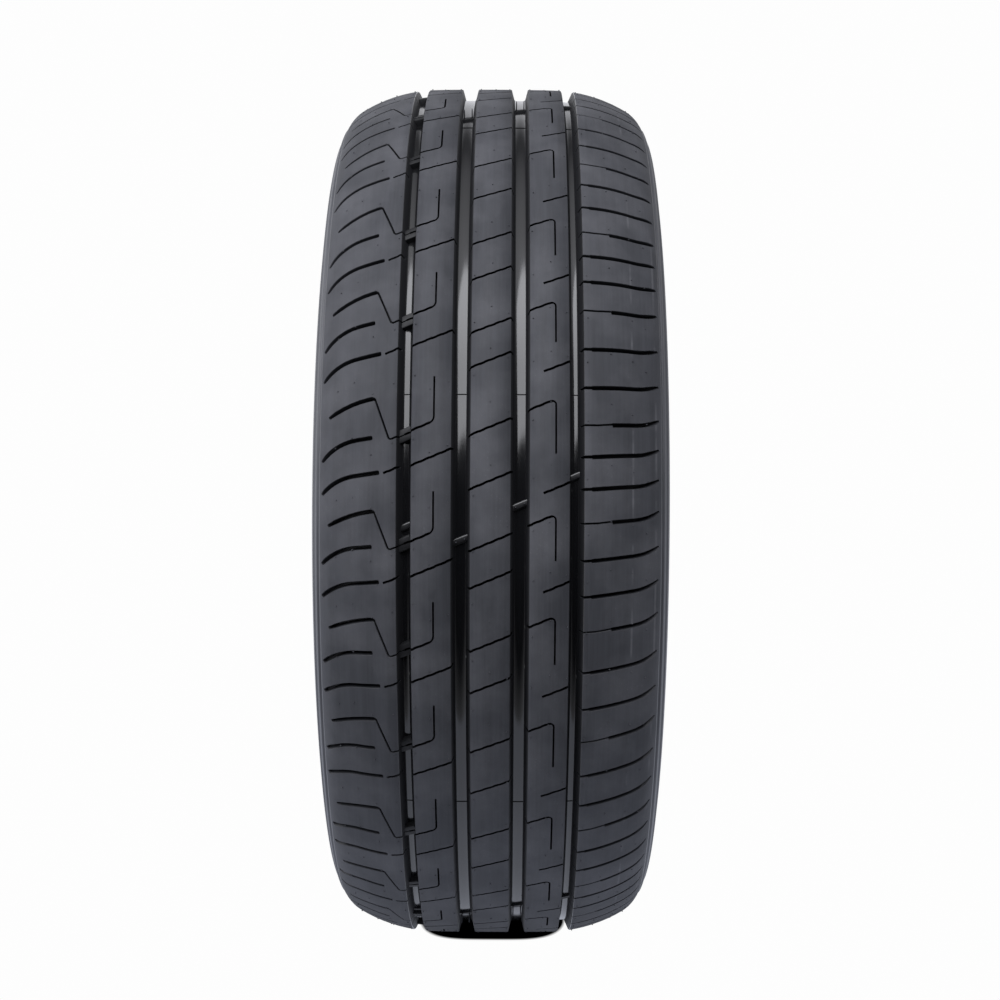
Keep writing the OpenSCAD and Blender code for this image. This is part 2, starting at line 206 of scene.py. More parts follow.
def half_outline():
    """Corners of the section from the middle of the tread round to the middle of the air side."""
    first_turn = math.degrees(math.asin((SHOULDER_START - SHOULDER_C[1]) / SHOULDER_ARC))
    tread = [
        lip(0.0, 0, 0.0, 0),
        lip(RIB_EDGE), lip(RIB_EDGE + WALL_RUN, GROOVE_DEPTH, FLOOR_R, 2),
        lip(SECOND_START - WALL_RUN, GROOVE_DEPTH, FLOOR_R, 2), lip(SECOND_START),
        lip((SECOND_START + SECOND_END) / 2, 0, 0.0, 0),
        lip(SECOND_END), lip(SECOND_END + STEEP_RUN, GROOVE_DEPTH, 1.0, 2),
        lip(SHOULDER_START - LEANING_RUN, GROOVE_DEPTH, FLOOR_R, 2), lip(SHOULDER_START, 0, 0.6, 2),
    ]
    shoulder = arc(SHOULDER_C, SHOULDER_ARC, first_turn + 3, 30, 6) + arc(CORNER_C, CORNER_ARC, 37, 60, 4)
    rings = [wall_at(*row) for row in (
        (62.2,), (62.9, -0.7, 0.5, 2), (64.4, -0.7, 0.6, 2), (65.0, 0.5, 0.5, 2), (66.9, 0.5, 0.5, 2),
        (67.5, 0.0, 0.8, 2), (71.6, 0.0, 0.8, 2), (72.2, 0.6, 0.4, 2), (73.5, 0.6, 0.4, 2),
        (74.1, 0.0, 0.8, 2))]
    side = arc(WALL_C, WALL_ARC, 78, 90, 2)
    lower = arc((WALL_C[0], HALF_W - WALL_ARC), WALL_ARC, 94, 110, 3)
    guard = [
        (GUARD_R + 5.5, HALF_W - 2.2, 2.5, 2), (GUARD_R + 4.0, HALF_W - 0.6, 1.2, 2),
        (GUARD_R, HALF_W - 0.6, 2.0, 3),
        (FLANGE_TOP + 2.2, RIM_HALF + FLANGE_R + 2.2, 2.5, 3),
    ]
    bead = arc((FLANGE_TOP - FLANGE_R, RIM_HALF + FLANGE_R), FLANGE_R, 0, -90, 5)
    heel = arc((SEAT_R + HEEL_R, RIM_HALF - HEEL_R), HEEL_R, 90, 180, 4)
    toe = [(SEAT_R, RIM_HALF - BEAD_W + TOE, 1.0, 2), (SEAT_R + TOE, RIM_HALF - BEAD_W, 1.0, 2)]
    turn = math.radians(INNER_TURN)
    knee = SHOULDER_C + (SHOULDER_ARC - CROWN_T) * heading(turn)
    inner_r = (HALF_W - WALL_T - knee[1]) / (1 - math.sin(turn))
    inner_c = knee - inner_r * heading(turn)
    air = (arc(inner_c + [0, inner_r - APEX_R], APEX_R, 145, 90, 4)
           + arc(inner_c, inner_r, 80, INNER_TURN, 6)
           + [(radius_at(CROWN_END) - CROWN_T, CROWN_END, 0.0, 0)])
    return tread + shoulder + rings + side + lower + guard + bead + heel + toe + air


HALF = half_outline()
MIRRORED = [(r, -y, f, s) for (r, y, f, s) in HALF[:0:-1]]
SECTION = fillet(HALF + MIRRORED)
SECTION_N = outline_normals(SECTION)
print("section points:", len(SECTION), "widest", SECTION[:, 1].max())

# %% [markdown]
# ## Carrying the section round the axle
# The grid has one ring of section points for each step of angle. The step is small enough that
# the outside looks round: on a circle with a radius of 317 mm, 248 steps leave about 0.03 mm.

# %% Meshes from numpy
AROUND = 248
# The groove, wall, notch and cut finishes are darker copies of the one rubber, which paint the shade inside
# the grooves and cuts.
FINISHES = ["tread_rubber", "glossy_groove_rubber_painted_shade", "sidewall_rubber", "liner_rubber", "cut_rubber_painted_shade",
            "wall_rubber_painted_shade", "notch_rubber_painted_shade"]
TREAD, GROOVE, SIDE, LINER, CUT, WALL, NOTCH = range(len(FINISHES))
STEEP_SHARE, TREAD_REACH, SKIN, FLOOR_BELOW, LINER_BELOW = 0.8, 105.0, 0.25, 8.8, 9.0


def to_world(r, y, angle):
    """Points at a radius, a place across and an angle above the axle at the front, in metres."""
    return np.stack([r * np.cos(angle), np.broadcast_to(y, np.shape(angle)), r * np.sin(angle)], -1) * MM


def signed_volume(co, faces):
    """Six times the volume inside a closed mesh, negative if its faces point inwards: the sum of
    the triple products of each face's fan of triangles."""
    total = 0.0
    for f in faces:
        a = co[f[:, 0]]
        for k in range(1, f.shape[1] - 1):
            total += np.einsum("ij,ij->", a, np.cross(co[f[:, k]], co[f[:, k + 1]]))
    return total


def add_object(name, data):
    """An object in the scene, at the origin, for a mesh, a lamp or a camera."""
    obj = bpy.data.objects.new(name, data)
    bpy.context.scene.collection.objects.link(obj)
    return obj


def make_mesh(name, co, faces, finish):
    """A mesh object from points and a list of equal-sized face arrays, all facing outwards, with
    the finish of each face."""
    if signed_volume(co, faces) < 0:
        faces = [f[:, ::-1] for f in faces]
    mesh = bpy.data.meshes.new(name)
    mesh.from_pydata(co.tolist(), [], [row for f in faces for row in f.tolist()])
    mesh.polygons.foreach_set("material_index", np.concatenate(finish).astype(np.int32))
    mesh.polygons.foreach_set("use_smooth", np.ones(len(mesh.polygons), dtype=bool))
    mesh.update()
    return add_object(name, mesh)


def zone_of(mid, normal):
    """The finish at places of the section: tread, groove floor or wall, sidewall or air side."""
    r, y, side = mid[:, 0], np.abs(mid[:, 1]), normal[:, 1] * np.sign(mid[:, 1])
    steep = np.abs(normal[:, 1]) > STEEP_SHARE * np.abs(normal[:, 0])
    depth = surface(np.minimum(y, TREAD_REACH - 0.5))[0] - r
    zone = np.full(len(mid), SIDE)
    zone[(r > SEAT_R + TOE - 0.5) & (side < 0.05) & (depth > LINER_BELOW)] = LINER
    zone[(y < SHOULDER_START) & (depth < FLOOR_BELOW)] = GROOVE
    # Steep groove walls get the wall finish, a darker copy of the rubber that paints the shade in the
    # groove.
    zone[(zone == GROOVE) & steep] = WALL
    zone[(y < TREAD_REACH) & (depth < SKIN)] = TREAD
    return zone


def ring_grid(name):
    """The section carried round the axle: point (i, k) is section point k at angle step i."""
    count = len(SECTION)
    angle = np.linspace(0, 2 * math.pi, AROUND, endpoint=False)[:, None]
    co = to_world(SECTION[None, :, 0], SECTION[None, :, 1], np.repeat(angle, count, 1)).reshape(-1, 3)
    i, k = np.meshgrid(np.arange(AROUND), np.arange(count), indexing="ij")
    i2, k2 = (i + 1) % AROUND, (k + 1) % count
    quads = np.stack([i * count + k, i2 * count + k, i2 * count + k2, i * count + k2], -1).reshape(-1, 4)
    mid = (SECTION + np.roll(SECTION, -1, 0)) / 2
    zones = np.tile(zone_of(mid, SECTION_N + np.roll(SECTION_N, -1, 0)), AROUND)
    return make_mesh(name, co, [quads], [zones])


tyre = ring_grid("tyre_rubber_body")
print("casing faces:", len(tyre.data.polygons))

# %% [markdown]
# ## The blocks round the tread
# The blocks come in three lengths in an order without a rhythm, so that a real tyre doesn't sing
# on the road. Each half of the tread has its own order. Angles run down the front from the first
# block's start, and each length is stretched a little so that 29 of them close the circle.

# %% Pitches
PITCH_MM = {"S": 60.0, "M": 67.0, "L": 75.0}
RIGHT_ORDER, RIGHT_FIRST = "LMSLSMLLMSMLMMSMLMMLMLMMLMLMM", 51.9
LEFT_ORDER, LEFT_FIRST = "LMLMMMLMMSMLMMLMMSMLMMLMMLMMM", 44.1
ROUND_MM = 2 * math.pi * OUTER_R


def blocks(order, first):
    """Start of each block, as a length round the tread above the axle, and its length."""
    lengths = np.array([PITCH_MM[c] for c in order])
    lengths *= ROUND_MM / lengths.sum()
    starts = first / 360 * ROUND_MM - np.concatenate([[0], np.cumsum(lengths)[:-1]])
    return list(zip(starts.tolist(), lengths.tolist()))


right_blocks = blocks(RIGHT_ORDER, RIGHT_FIRST)
left_blocks = blocks(LEFT_ORDER, LEFT_FIRST)
print("blocks:", len(right_blocks), len(left_blocks))

# %% [markdown]
# ## Blades
# A sipe or a small groove is cut by a blade that follows a path on the tread. The blade is a swept
# solid: at each station of the path it has the same few corners, given as an offset beside the
# path and a height above the tread, and all of them are bent onto the tread by one function.

# %% Blade helper
def on_tread(t, y, h):
    """Bends flat tread coordinates onto the tyre: t is the length up the front, y the place
    across, and h the height above the surface, measured along the surface's own normal."""
    r, turn = surface(y)
    return to_world(r + h * np.cos(turn), y + h * np.sin(turn), t / OUTER_R)


class Blades:
    """Collects swept solids, and makes one mesh of them."""

    def __init__(self):
        self.co, self.quads, self.caps, self.count = [], [], [], 0

    def sweep(self, across, up, side, height):
        """One closed solid. Station i lies at across[i], up[i]; its corner j is moved side[i, j]
        to the left of the path's direction and lies height[i, j] above the tread."""
        n, m = side.shape
        step = np.stack([np.gradient(across), np.gradient(up)], 1)
        step /= np.linalg.norm(step, axis=1)[:, None]
        y = across[:, None] - step[:, 1:] * side
        t = up[:, None] + step[:, :1] * side
        self.co.append(on_tread(t, y, height).reshape(-1, 3))
        i, j = np.meshgrid(np.arange(n - 1), np.arange(m), indexing="ij")
        j2 = (j + 1) % m
        quads = np.stack([i * m + j, i * m + j2, (i + 1) * m + j2, (i + 1) * m + j], -1).reshape(-1, 4)
        caps = np.stack([np.arange(m)[::-1], (n - 1) * m + np.arange(m)])
        if signed_volume(self.co[-1], [quads, caps]) < 0:
            quads, caps = quads[:, ::-1], caps[:, ::-1]
        self.quads.append(quads + self.count)
        self.caps.append(caps + self.count)
        self.count += n * m

    def build(self, name, finish, strips=None):
        """The mesh of all the solids so far. strips gives each side of a solid a finish of its own."""
        caps = {}
        for c in self.caps:
            caps.setdefault(c.shape[1], []).append(c)
        faces = [np.concatenate(self.quads)] + [np.concatenate(c) for c in caps.values()]
        finishes = [np.full(len(f), finish) for f in faces]
        if strips:
            finishes[0] = np.tile(strips, len(faces[0]) // len(strips))
        return make_mesh(name, np.concatenate(self.co), faces, finishes)


# %% [markdown]
# ## Paths on the tread
# Paths are lists of corners, and some of the corners are rounded. Where a sipe runs across the
# tread its blade is folded: it steps from side to side every few millimetres, so that the walls of
# the cut lock together. A leg that runs round the tyre is straight.

# %% Path helpers
def polyline(*parts):
    """Joins points and lists of points into one array of (across, up)."""
    return np.concatenate([np.reshape(part, (-1, 2)) for part in parts])


def round_corner(a, b, c, r, steps=4):
    """Points of a rounded corner at b on the way from a to c."""
    a, b, c = (np.array(p, dtype=float) for p in (a, b, c))
    u, v = (a - b) / np.linalg.norm(a - b), (c - b) / np.linalg.norm(c - b)
    half = math.acos(u @ v) / 2
    middle = b + (u + v) / np.linalg.norm(u + v) * r / math.sin(half)
    first, last = b + u * r / math.tan(half) - middle, b + v * r / math.tan(half) - middle
    mix = [first * (steps - k) + last * k for k in range(steps + 1)]
    return [tuple(middle + d / np.linalg.norm(d) * r) for d in mix]


def curl(start, slope, run, r, end_slope, steps=5):
    """A path that runs straight and then bends, with its slopes in degrees, upwards positive."""
    s0 = math.radians(slope)
    knee = np.array(start) + run * heading(s0)
    side = 1 if end_slope > slope else -1
    out = [tuple(start)]
    for a in np.radians(np.linspace(slope, end_slope, steps + 1)):
        bend = np.array([math.sin(a) - math.sin(s0), math.cos(s0) - math.cos(a)])
        out.append(tuple(knee + side * r * bend))
    return out


def lengths_along(path):
    """Length along a path at each of its points."""
    return np.concatenate([[0], np.cumsum(np.linalg.norm(np.diff(path, axis=0), axis=1))])


def points_at(path, spots):
    """Points of a path at lengths along it."""
    length = lengths_along(path)
    return np.stack([np.interp(spots, length, path[:, 0]), np.interp(spots, length, path[:, 1])], 1)


SIPE_W, LEG_W, SIPE_DEPTH, SIPE_TAPER, RISE = 1.55, 1.15, 6.0, 0.8, 0.9
FOLD, FOLD_STEP, FOLD_RUN, FOLD_HALF, FOLD_END, LEAST_STEP = 0.1, 3.5, 0.8, 0.3, 1.5, 0.12


def leg_of(corners, spots):
    """Number of the leg of a path on which each length along it lies."""
    return np.clip(np.searchsorted(corners, spots, side="right") - 1, 0, len(corners) - 2)


def sipe(blades, path, place, depth=SIPE_DEPTH):
    """A folded sipe along a path: the blade's two faces step together from side to side, wherever
    the share of the path's direction that points across the tread is over FOLD_RUN. The other
    legs are straight and thinner."""
    path = np.asarray(path, dtype=float)
    run = np.diff(path, axis=0)
    length = np.linalg.norm(run, axis=1)
    corners = np.concatenate([[0], np.cumsum(length)])
    folding = np.abs(run[:, 0]) > FOLD_RUN * length
    folds = np.arange(FOLD_STEP, corners[-1] - FOLD_END, FOLD_STEP)
    folds = folds[folding[leg_of(corners, folds)]]
    spots = np.unique(np.concatenate([corners, folds - FOLD_HALF, folds + FOLD_HALF]))
    spots = spots[np.concatenate([[True], np.diff(spots) > LEAST_STEP])]
    across, up = points_at(path, spots).T
    folded = folding[leg_of(corners, spots)]
    shift = np.where(folded, FOLD, 0.0) * np.where(np.searchsorted(folds, spots) % 2 == 0, 1.0, -1.0)
    half = np.where(folded, SIPE_W, LEG_W)[:, None] / 2
    side = shift[:, None] + half * np.array([[1.0, SIPE_TAPER, -SIPE_TAPER, -1.0]])
    height = np.tile([RISE, -depth, -depth, RISE], (len(spots), 1))
    blades.sweep(across, up + place, side, height)


sipes_middle, sipes_right, sipes_left = Blades(), Blades(), Blades()
print("one sipe is", SIPE_W, "mm wide and", SIPE_DEPTH, "mm deep")

# %% [markdown]
# ## Sipes of the three ribs
# The middle rib is cut right across twice in each block. The right rib has a hooked sipe from its
# inner edge and a half sipe from its outer edge. The left rib has a sipe right across and a hooked
# one from its outer edge. All of them slant the same way.

# %% Rib sipes
MIDDLE_RISE, MIDDLE_GAP = 7.5, 17.2
RIGHT_HOOK, RIGHT_HALF = 0.655 * SECOND_W, 0.345 * SECOND_W
RIGHT_START, RIGHT_TIP, RIGHT_BEND = 0.32, 0.36, 2.2
LEFT_HOOK, HOOK_RISE, LEFT_TIP, LEFT_BEND = 0.565 * SECOND_W, 21.3, 0.45, 4.5


def mirror(points):
    """The same path on the other half of the tread."""
    return [(-y, t) for y, t in points]


def hook(edge, corner, end, r, steps=4):
    """A path from an edge to an end with one rounded corner."""
    return polyline(edge, round_corner(edge, corner, end, r, steps), end)


for start, pitch in right_blocks:
    reach = RIB_EDGE + OVERRUN
    for drop in (0.0, MIDDLE_GAP + pitch / 3):
        sipe(sipes_middle, [(-reach, -reach * SLANT), (reach, reach * SLANT)], start + MIDDLE_RISE - drop)
    tip = SECOND_START + RIGHT_HALF
    length = SECOND_W - RIGHT_HALF + OVERRUN
    sipe(sipes_right, [(tip, 0.0), (tip + length, length * SLANT)], start)
    line = SECOND_START + RIGHT_HOOK
    path = hook((SECOND_START - OVERRUN, -OVERRUN * SLANT), (line, RIGHT_HOOK * SLANT),
                (line, -RIGHT_TIP * pitch), RIGHT_BEND)
    sipe(sipes_right, path, start - RIGHT_START * pitch)

for start, pitch in left_blocks:
    sipe(sipes_left, mirror([(SECOND_END + OVERRUN, -OVERRUN * SLANT),
                             (SECOND_START - OVERRUN, (SECOND_W + OVERRUN) * SLANT)]), start)
    line = SECOND_END - LEFT_HOOK
    path = hook((SECOND_END + OVERRUN, -OVERRUN * SLANT), (line, LEFT_HOOK * SLANT),
                (line, LEFT_TIP * pitch), LEFT_BEND, 5)
    sipe(sipes_left, mirror(path), start - pitch + HOOK_RISE)
print("rib sipes:", len(sipes_middle.co) + len(sipes_right.co) + len(sipes_left.co))

# %% [markdown]
# ## Grooves across the shoulders
# These grooves are wider than sipes. The upper wall is steep and the lower one leans more and more
# towards the outer end, where the floor comes up to the surface, so the light picks out the lower
# wall as a grey wedge. The blade's corners carry the small chamfer of the moulded edge. An edge's
# offset is its distance from the groove's path, upwards positive.

# %% Shoulder groove helper
LATERAL_DEPTH, LATERAL_REACH, TIP_DEPTH = 6.5, 103.0, 1.8
CHAMFER, FLARE, STATION = 0.25, 0.5, 4.5
UPPER_LEAN, FLOOR_SHARE, WEDGE_SHARE = 0.12, 0.72, 0.45
NOSE_AT, NOSE_SHARE, TAIL_AT = (0.0, 0.25, 0.8), (0.45, 0.8, 1.0), (0.6, 0.2)
START_R, REACH_R = radius_at(SHOULDER_START), radius_at(LATERAL_REACH)
FLOOR_TILT = math.atan((START_R - LATERAL_DEPTH - REACH_R + TIP_DEPTH) / (LATERAL_REACH - SHOULDER_START))


def floor_depth(across):
    """Depth of the sloping floor along the surface's normal: the drop from the surface to the
    floor's straight line, turned from upright into the normal's direction."""
    r, turn = surface(across)
    line = START_R - LATERAL_DEPTH - (np.abs(across) - SHOULDER_START) * math.tan(FLOOR_TILT)
    return (r - line) * math.cos(FLOOR_TILT) / np.cos(np.abs(turn) - FLOOR_TILT)


def profile(ahead, last, count):
    """Offsets of a groove's edge at its stations: the ones ahead, and then the last ones, of which
    the first is repeated until they are count in all."""
    return list(ahead) + [last[0]] * (count - len(last) + 1) + list(last[1:])


def add_stations(path, *columns):
    """Adds stations to a path, so that none of its steps is longer than STATION and the blade
    follows the curved surface. The columns of numbers beside the path are filled in too."""
    spots = lengths_along(path)
    steps = zip(spots, spots[1:])
    fine = [np.linspace(a, b, max(1, math.ceil((b - a) / STATION)), endpoint=False) for a, b in steps]
    new = np.concatenate(fine + [spots[-1:]])
    return [points_at(path, new)] + [np.interp(new, spots, column) for column in columns]


def shoulder_groove(blades, path, place, upper, lower, wedge, left=False):
    """One groove. upper and lower are its edges' offsets at each point of the path, and wedge, from
    0 to 1, says how far the lower wall leans over."""
    path = np.array(mirror(path) if left else path, dtype=float)
    flip = -1.0 if left else 1.0
    path, upper, lower, wedge = add_stations(path, upper, lower, wedge)
    depth = np.minimum(floor_depth(path[:, 0]), LATERAL_DEPTH)
    width = upper - lower
    floor_upper = upper - UPPER_LEAN * width
    floor_lower = floor_upper - width * (FLOOR_SHARE - WEDGE_SHARE * wedge)
    corners = [upper + CHAMFER + FLARE, upper, floor_upper, floor_lower, lower, lower - CHAMFER - FLARE]
    edge, rim = np.full(len(path), -CHAMFER), np.full(len(path), FLARE)
    heights = [rim, edge, -depth, -depth, edge, rim]
    blades.sweep(path[:, 0], path[:, 1] + place, flip * np.stack(corners, 1), np.stack(heights, 1))


def close_ends(path, upper, lower, start=True):
    """Adds narrower stations at the end, and at the start unless it is open, so that a blind groove
    ends in a rounded nose."""
    path = np.array(path, dtype=float)
    spots = lengths_along(path)
    total = spots[-1]
    extra = [total - back for back in TAIL_AT] + (list(NOSE_AT[1:]) if start else [])
    new = np.unique(np.concatenate([spots, extra]))
    upper, lower = np.interp(new, spots, upper), np.interp(new, spots, lower)
    share = np.interp(np.minimum(new if start else total, total - new), NOSE_AT, NOSE_SHARE)
    middle = (upper + lower) / 2
    return points_at(path, new), middle + (upper - middle) * share, middle + (lower - middle) * share


print("the shoulder grooves' floor slopes by", round(math.degrees(FLOOR_TILT), 1), "degrees")

# %% [markdown]
# ## Right shoulder
# Each block has one groove that starts as a sipe and widens with a step, and two full grooves that
# start with a narrow neck beside the main groove. All of them curl up at the outer end.

# %% Right shoulder grooves
CURL_R, CURL_TURN, LATERAL_SLOPE = 31.0, 34.0, 4.8
STEP_PLACE, NECK_L, NECK_W, RIGHT_RISE, THIN_HALF = 17.0, 4.7, 1.7, 41.5, 0.5
THIN_BEND, THIN_END, NECK_END, LEAST_WEDGE = (8.0, 0.35), (0.1, 0.02), (0.1, 0.05), -0.2
STEP_UPPER, STEP_LOWER = (0.75, 0.4), (-1.8, -1.5, -0.5)
NECK_UPPER, FULL_UPPER, FULL_LOWER = (1.0, 1.05), (1.25, 1.0, 0.5), (-1.3, -1.1, -0.5)
FULL_GROOVES = ((0.46, 7.8), (0.82, 9.7))
shoulder_right, shoulder_left = Blades(), Blades()


def right_path(start):
    """Path of a right groove from a place across to its outer end."""
    slope, turn = math.radians(LATERAL_SLOPE), math.radians(CURL_TURN)
    run = LATERAL_REACH - start - CURL_R * (math.sin(turn) - math.sin(slope))
    return curl((start, (start - SHOULDER_START) * math.tan(slope)), LATERAL_SLOPE, run, CURL_R, CURL_TURN)


for start, pitch in right_blocks:
    first = start + RIGHT_RISE
    inner = SHOULDER_START - OVERRUN
    wide = right_path(SHOULDER_START + STEP_PLACE)
    bend = (SHOULDER_START + THIN_BEND[0], THIN_BEND[1])
    thin = [(inner, 0.0), bend, (wide[0][0] - THIN_END[0], wide[0][1] - THIN_END[1])]
    upper = profile([THIN_HALF] * len(thin), STEP_UPPER, len(wide))
    lower = profile([-THIN_HALF] * len(thin), STEP_LOWER, len(wide))
    wedge = np.linspace(LEAST_WEDGE, 1, len(upper))
    shoulder_groove(shoulder_right, thin + wide, first, upper, lower, wedge)
    for share, rise in FULL_GROOVES:
        full = right_path(SHOULDER_START + NECK_L)
        path = [(inner, 0.0), (full[0][0] - NECK_END[0], full[0][1] - NECK_END[1])] + full
        upper = profile(NECK_UPPER, FULL_UPPER, len(full))
        lower = profile([edge - NECK_W for edge in NECK_UPPER], FULL_LOWER, len(full))
        wedge = np.concatenate([[0.0, 0.0], np.linspace(0.0, 1, len(full))])
        shoulder_groove(shoulder_right, path, first - share * pitch + rise, upper, lower, wedge)
print("right shoulder grooves:", len(shoulder_right.co))

# %% [markdown]
# ## Left shoulder
# The left half is different on purpose, because it faces the inside of the car. A thin cut comes
# through the tie bar, climbs steeply and opens into a full groove. Two more grooves are blind at
# both ends, and a short sipe points at one of them from the main groove.

# %% Left shoulder grooves
LEFT_ARC, BOTTOM, LEAN, CLIMB, BAR_DROP = 31.0, 4.4, 9.2, 0.35, 9.0
TAIL_L, TAIL_DROP, TAIL_DEPTH = 7.8, 1.4, 5.5
UPPER_BLIND, LOWER_BLIND = (10.2, -4.2, -7, -51), (14.6, -4.0, -6, -53)
BLIND_UPPER, BLIND_LOWER = (1.3, 1.0), (-1.3, -1.2, -1.0)
LEG_BEND, HEAD_BEND, HEAD_STEP, HEAD_CURL = 1.6, 2.0, (3.0, -0.3), (-9, 1, 66, -32)
MOST_WEDGE = 0.9


def blind_groove(place, inset, fall, slope, end_slope):
    """A groove with a rounded nose at both ends, which runs nearly straight out and curls down."""
    s, e = math.radians(slope), math.radians(end_slope)
    start = SHOULDER_START + inset
    run = (LATERAL_REACH - start - LEFT_ARC * (math.sin(s) - math.sin(e))) / math.cos(s)
    path = curl((start, fall), slope, run, LEFT_ARC, end_slope, 7)
    upper, lower = profile([], BLIND_UPPER, len(path)), profile([], BLIND_LOWER, len(path))
    path, upper, lower = close_ends(path, upper, lower)
    wedge = np.linspace(0, MOST_WEDGE, len(path))
    shoulder_groove(shoulder_left, path, place, upper, lower, wedge, left=True)


for start, pitch in left_blocks:
    tail = [(SHOULDER_START - OVERRUN, OVERRUN * SLANT - TAIL_DROP),
            (SHOULDER_START + TAIL_L, -TAIL_L * SLANT - TAIL_DROP)]
    sipe(shoulder_left, mirror(tail), start, depth=TAIL_DEPTH)
    blind_groove(start, *UPPER_BLIND)
    place = start - pitch + HOOK_RISE
    blind_groove(place, *LOWER_BLIND)
    edge = (SHOULDER_START - OVERRUN, (OVERRUN - BAR_DROP) * SLANT)
    low = (SHOULDER_START + BOTTOM, -(BOTTOM + BAR_DROP) * SLANT)
    high = (low[0] + LEAN, low[1] + CLIMB * pitch)
    out = (high[0] + HEAD_STEP[0], high[1] + HEAD_STEP[1])
    leg = polyline(edge, round_corner(edge, low, high, LEG_BEND))
    corner = polyline(round_corner(low, high, out, HEAD_BEND))
    wide = polyline(curl(out, *HEAD_CURL))
    upper = np.concatenate([[THIN_HALF] * len(leg), np.linspace(THIN_HALF, BLIND_UPPER[0], len(corner)),
                            profile([], BLIND_UPPER, len(wide))])
    path, upper, lower = close_ends(np.concatenate([leg, corner, wide]), upper, -upper, start=False)
    wedge = np.interp(path[:, 0], [high[0], LATERAL_REACH], [0.0, MOST_WEDGE])
    shoulder_groove(shoulder_left, path, place, upper, lower, wedge, left=True)
print("left shoulder cuts:", len(shoulder_left.co))

# %% [markdown]
# ## Bars on the groove floors
# Wear bars are low bumps across each main groove that show when the tread is worn down. Tie bars
# are taller and join the left shoulder to its rib. Where the sectors of the mould met, a hair-thin
# ridge crosses the floors. All of them are swept solids too, and are joined to the casing, each
# kind by itself, because solids in one mesh must not overlap. Rows, turns and joints are angles in
# degrees above the front.

# %% Bars and mould lines
WEAR_H, WEAR_L, WEAR_EDGE = 1.6, 4.0, 0.7
TIE_H, TIE_L, TIE_EDGE, TIE_RISE = 4.0, 8.0, 0.8, 19.4
LINE_H, LINE_L, LINE_EDGE = 0.3, 0.6, 0.15
BAR_ROOT, BAR_SPREAD, BEVEL = 0.8, 0.5, 0.3
WEAR_ROWS = (0.0, 63.9, 122.0, 180.0, 238.0, 297.5)
WEAR_TURNS = (-1.85, -3.3, 0.6, 3.85)
GROOVE_SPANS = [(-SHOULDER_START, -SECOND_END), (-SECOND_START, -RIB_EDGE),
                (RIB_EDGE, SECOND_START), (SECOND_END, SHOULDER_START)]
SECTOR_JOINTS = (13.2, -36.8, -88.5, -140.0, 168.5, 112.5, 57.6)
wear_bars, tie_bars, joint_lines = Blades(), Blades(), Blades()


def bar(solids, span, place, rise, length, height, edge):
    """A bar with rounded upper edges across a groove, its middle at a length up the tread."""
    across = np.linspace(span[0], span[1], 3)
    up = place + (across - across.mean()) * rise
    half, top = length / 2, -GROOVE_DEPTH + height
    right = [(half - edge, top), (half - BEVEL * edge, top - BEVEL * edge), (half, top - edge),
             (half + BAR_SPREAD, -GROOVE_DEPTH - BAR_ROOT)]
    corners = [(-side, level) for side, level in right[::-1]] + right
    side, level = (np.tile(column, (3, 1)) for column in zip(*corners))
    solids.sweep(across, up, side, level)


for row in WEAR_ROWS:
    for span, turn in zip(GROOVE_SPANS, WEAR_TURNS):
        bar(wear_bars, span, math.radians(row + turn) * OUTER_R, SLANT, WEAR_L, WEAR_H, WEAR_EDGE)
for start, pitch in left_blocks:
    bar(tie_bars, GROOVE_SPANS[0], start - pitch + TIE_RISE, SLANT, TIE_L, TIE_H, TIE_EDGE)
for joint in SECTOR_JOINTS:
    for span in GROOVE_SPANS:
        bar(joint_lines, span, math.radians(joint) * OUTER_R, 0.0, LINE_L, LINE_H, LINE_EDGE)
print("bars:", len(wear_bars.co), len(tie_bars.co), "mould lines:", len(joint_lines.co))

# %% [markdown]
# ## Joining and cutting
# The bars are joined to the casing, and then each family of blades is cut out of it. A family's
# solids don't touch each other, which keeps the operation exact and fast. Last comes the ground,
# which presses the tread flat where the tyre stands. A wear bar's top and sides are dull, and its
# rounded edges are as shiny as the groove's floor, so that they catch the light.

# %% Booleans
GROUND_X, GROUND_Y, GROUND_Z = 0.4, 0.2, 0.1


def combine(target, tool, operation):
    """Joins or cuts two closed meshes, and keeps each face's finish."""
    modifier = target.modifiers.new("combine", "BOOLEAN")
    modifier.operation, modifier.solver, modifier.object = operation, "MANIFOLD", tool
    shaped = target.evaluated_get(bpy.context.evaluated_depsgraph_get())
    mesh = bpy.data.meshes.new_from_object(shaped)
    target.modifiers.clear()
    old = target.data
    target.data = mesh
    bpy.data.meshes.remove(old)
    bpy.data.objects.remove(tool)
    print(operation, "->", len(mesh.polygons), "faces")


def ground_block():
    """A block whose top lies where the flat patch is."""
    top = -(OUTER_R - FLAT_DEPTH) * MM
    x, y = (-GROUND_X, GROUND_X), (-GROUND_Y, GROUND_Y)
    co = np.array([(a, b, c) for a in x for b in y for c in (top - GROUND_Z, top)])
    quads = np.array([(0, 1, 3, 2), (4, 6, 7, 5), (0, 4, 5, 1), (2, 3, 7, 6), (0, 2, 6, 4), (1, 5, 7, 3)])
    return make_mesh("ground_block", co, [quads], [np.full(len(quads), TREAD)])


slots = [bpy.data.materials.new(name) for name in FINISHES]
# The wear bars' tops and sides and the tie bars get the wall finish, painted shade; the mould lines get the
# near-black cut finish.
SHINY_EDGES = [WALL, GROOVE, GROOVE, WALL, GROOVE, GROOVE, WALL, WALL]
joined = [wear_bars.build("wear_bars", WALL, SHINY_EDGES), tie_bars.build("tie_bars", WALL),
          joint_lines.build("joint_lines", CUT)]
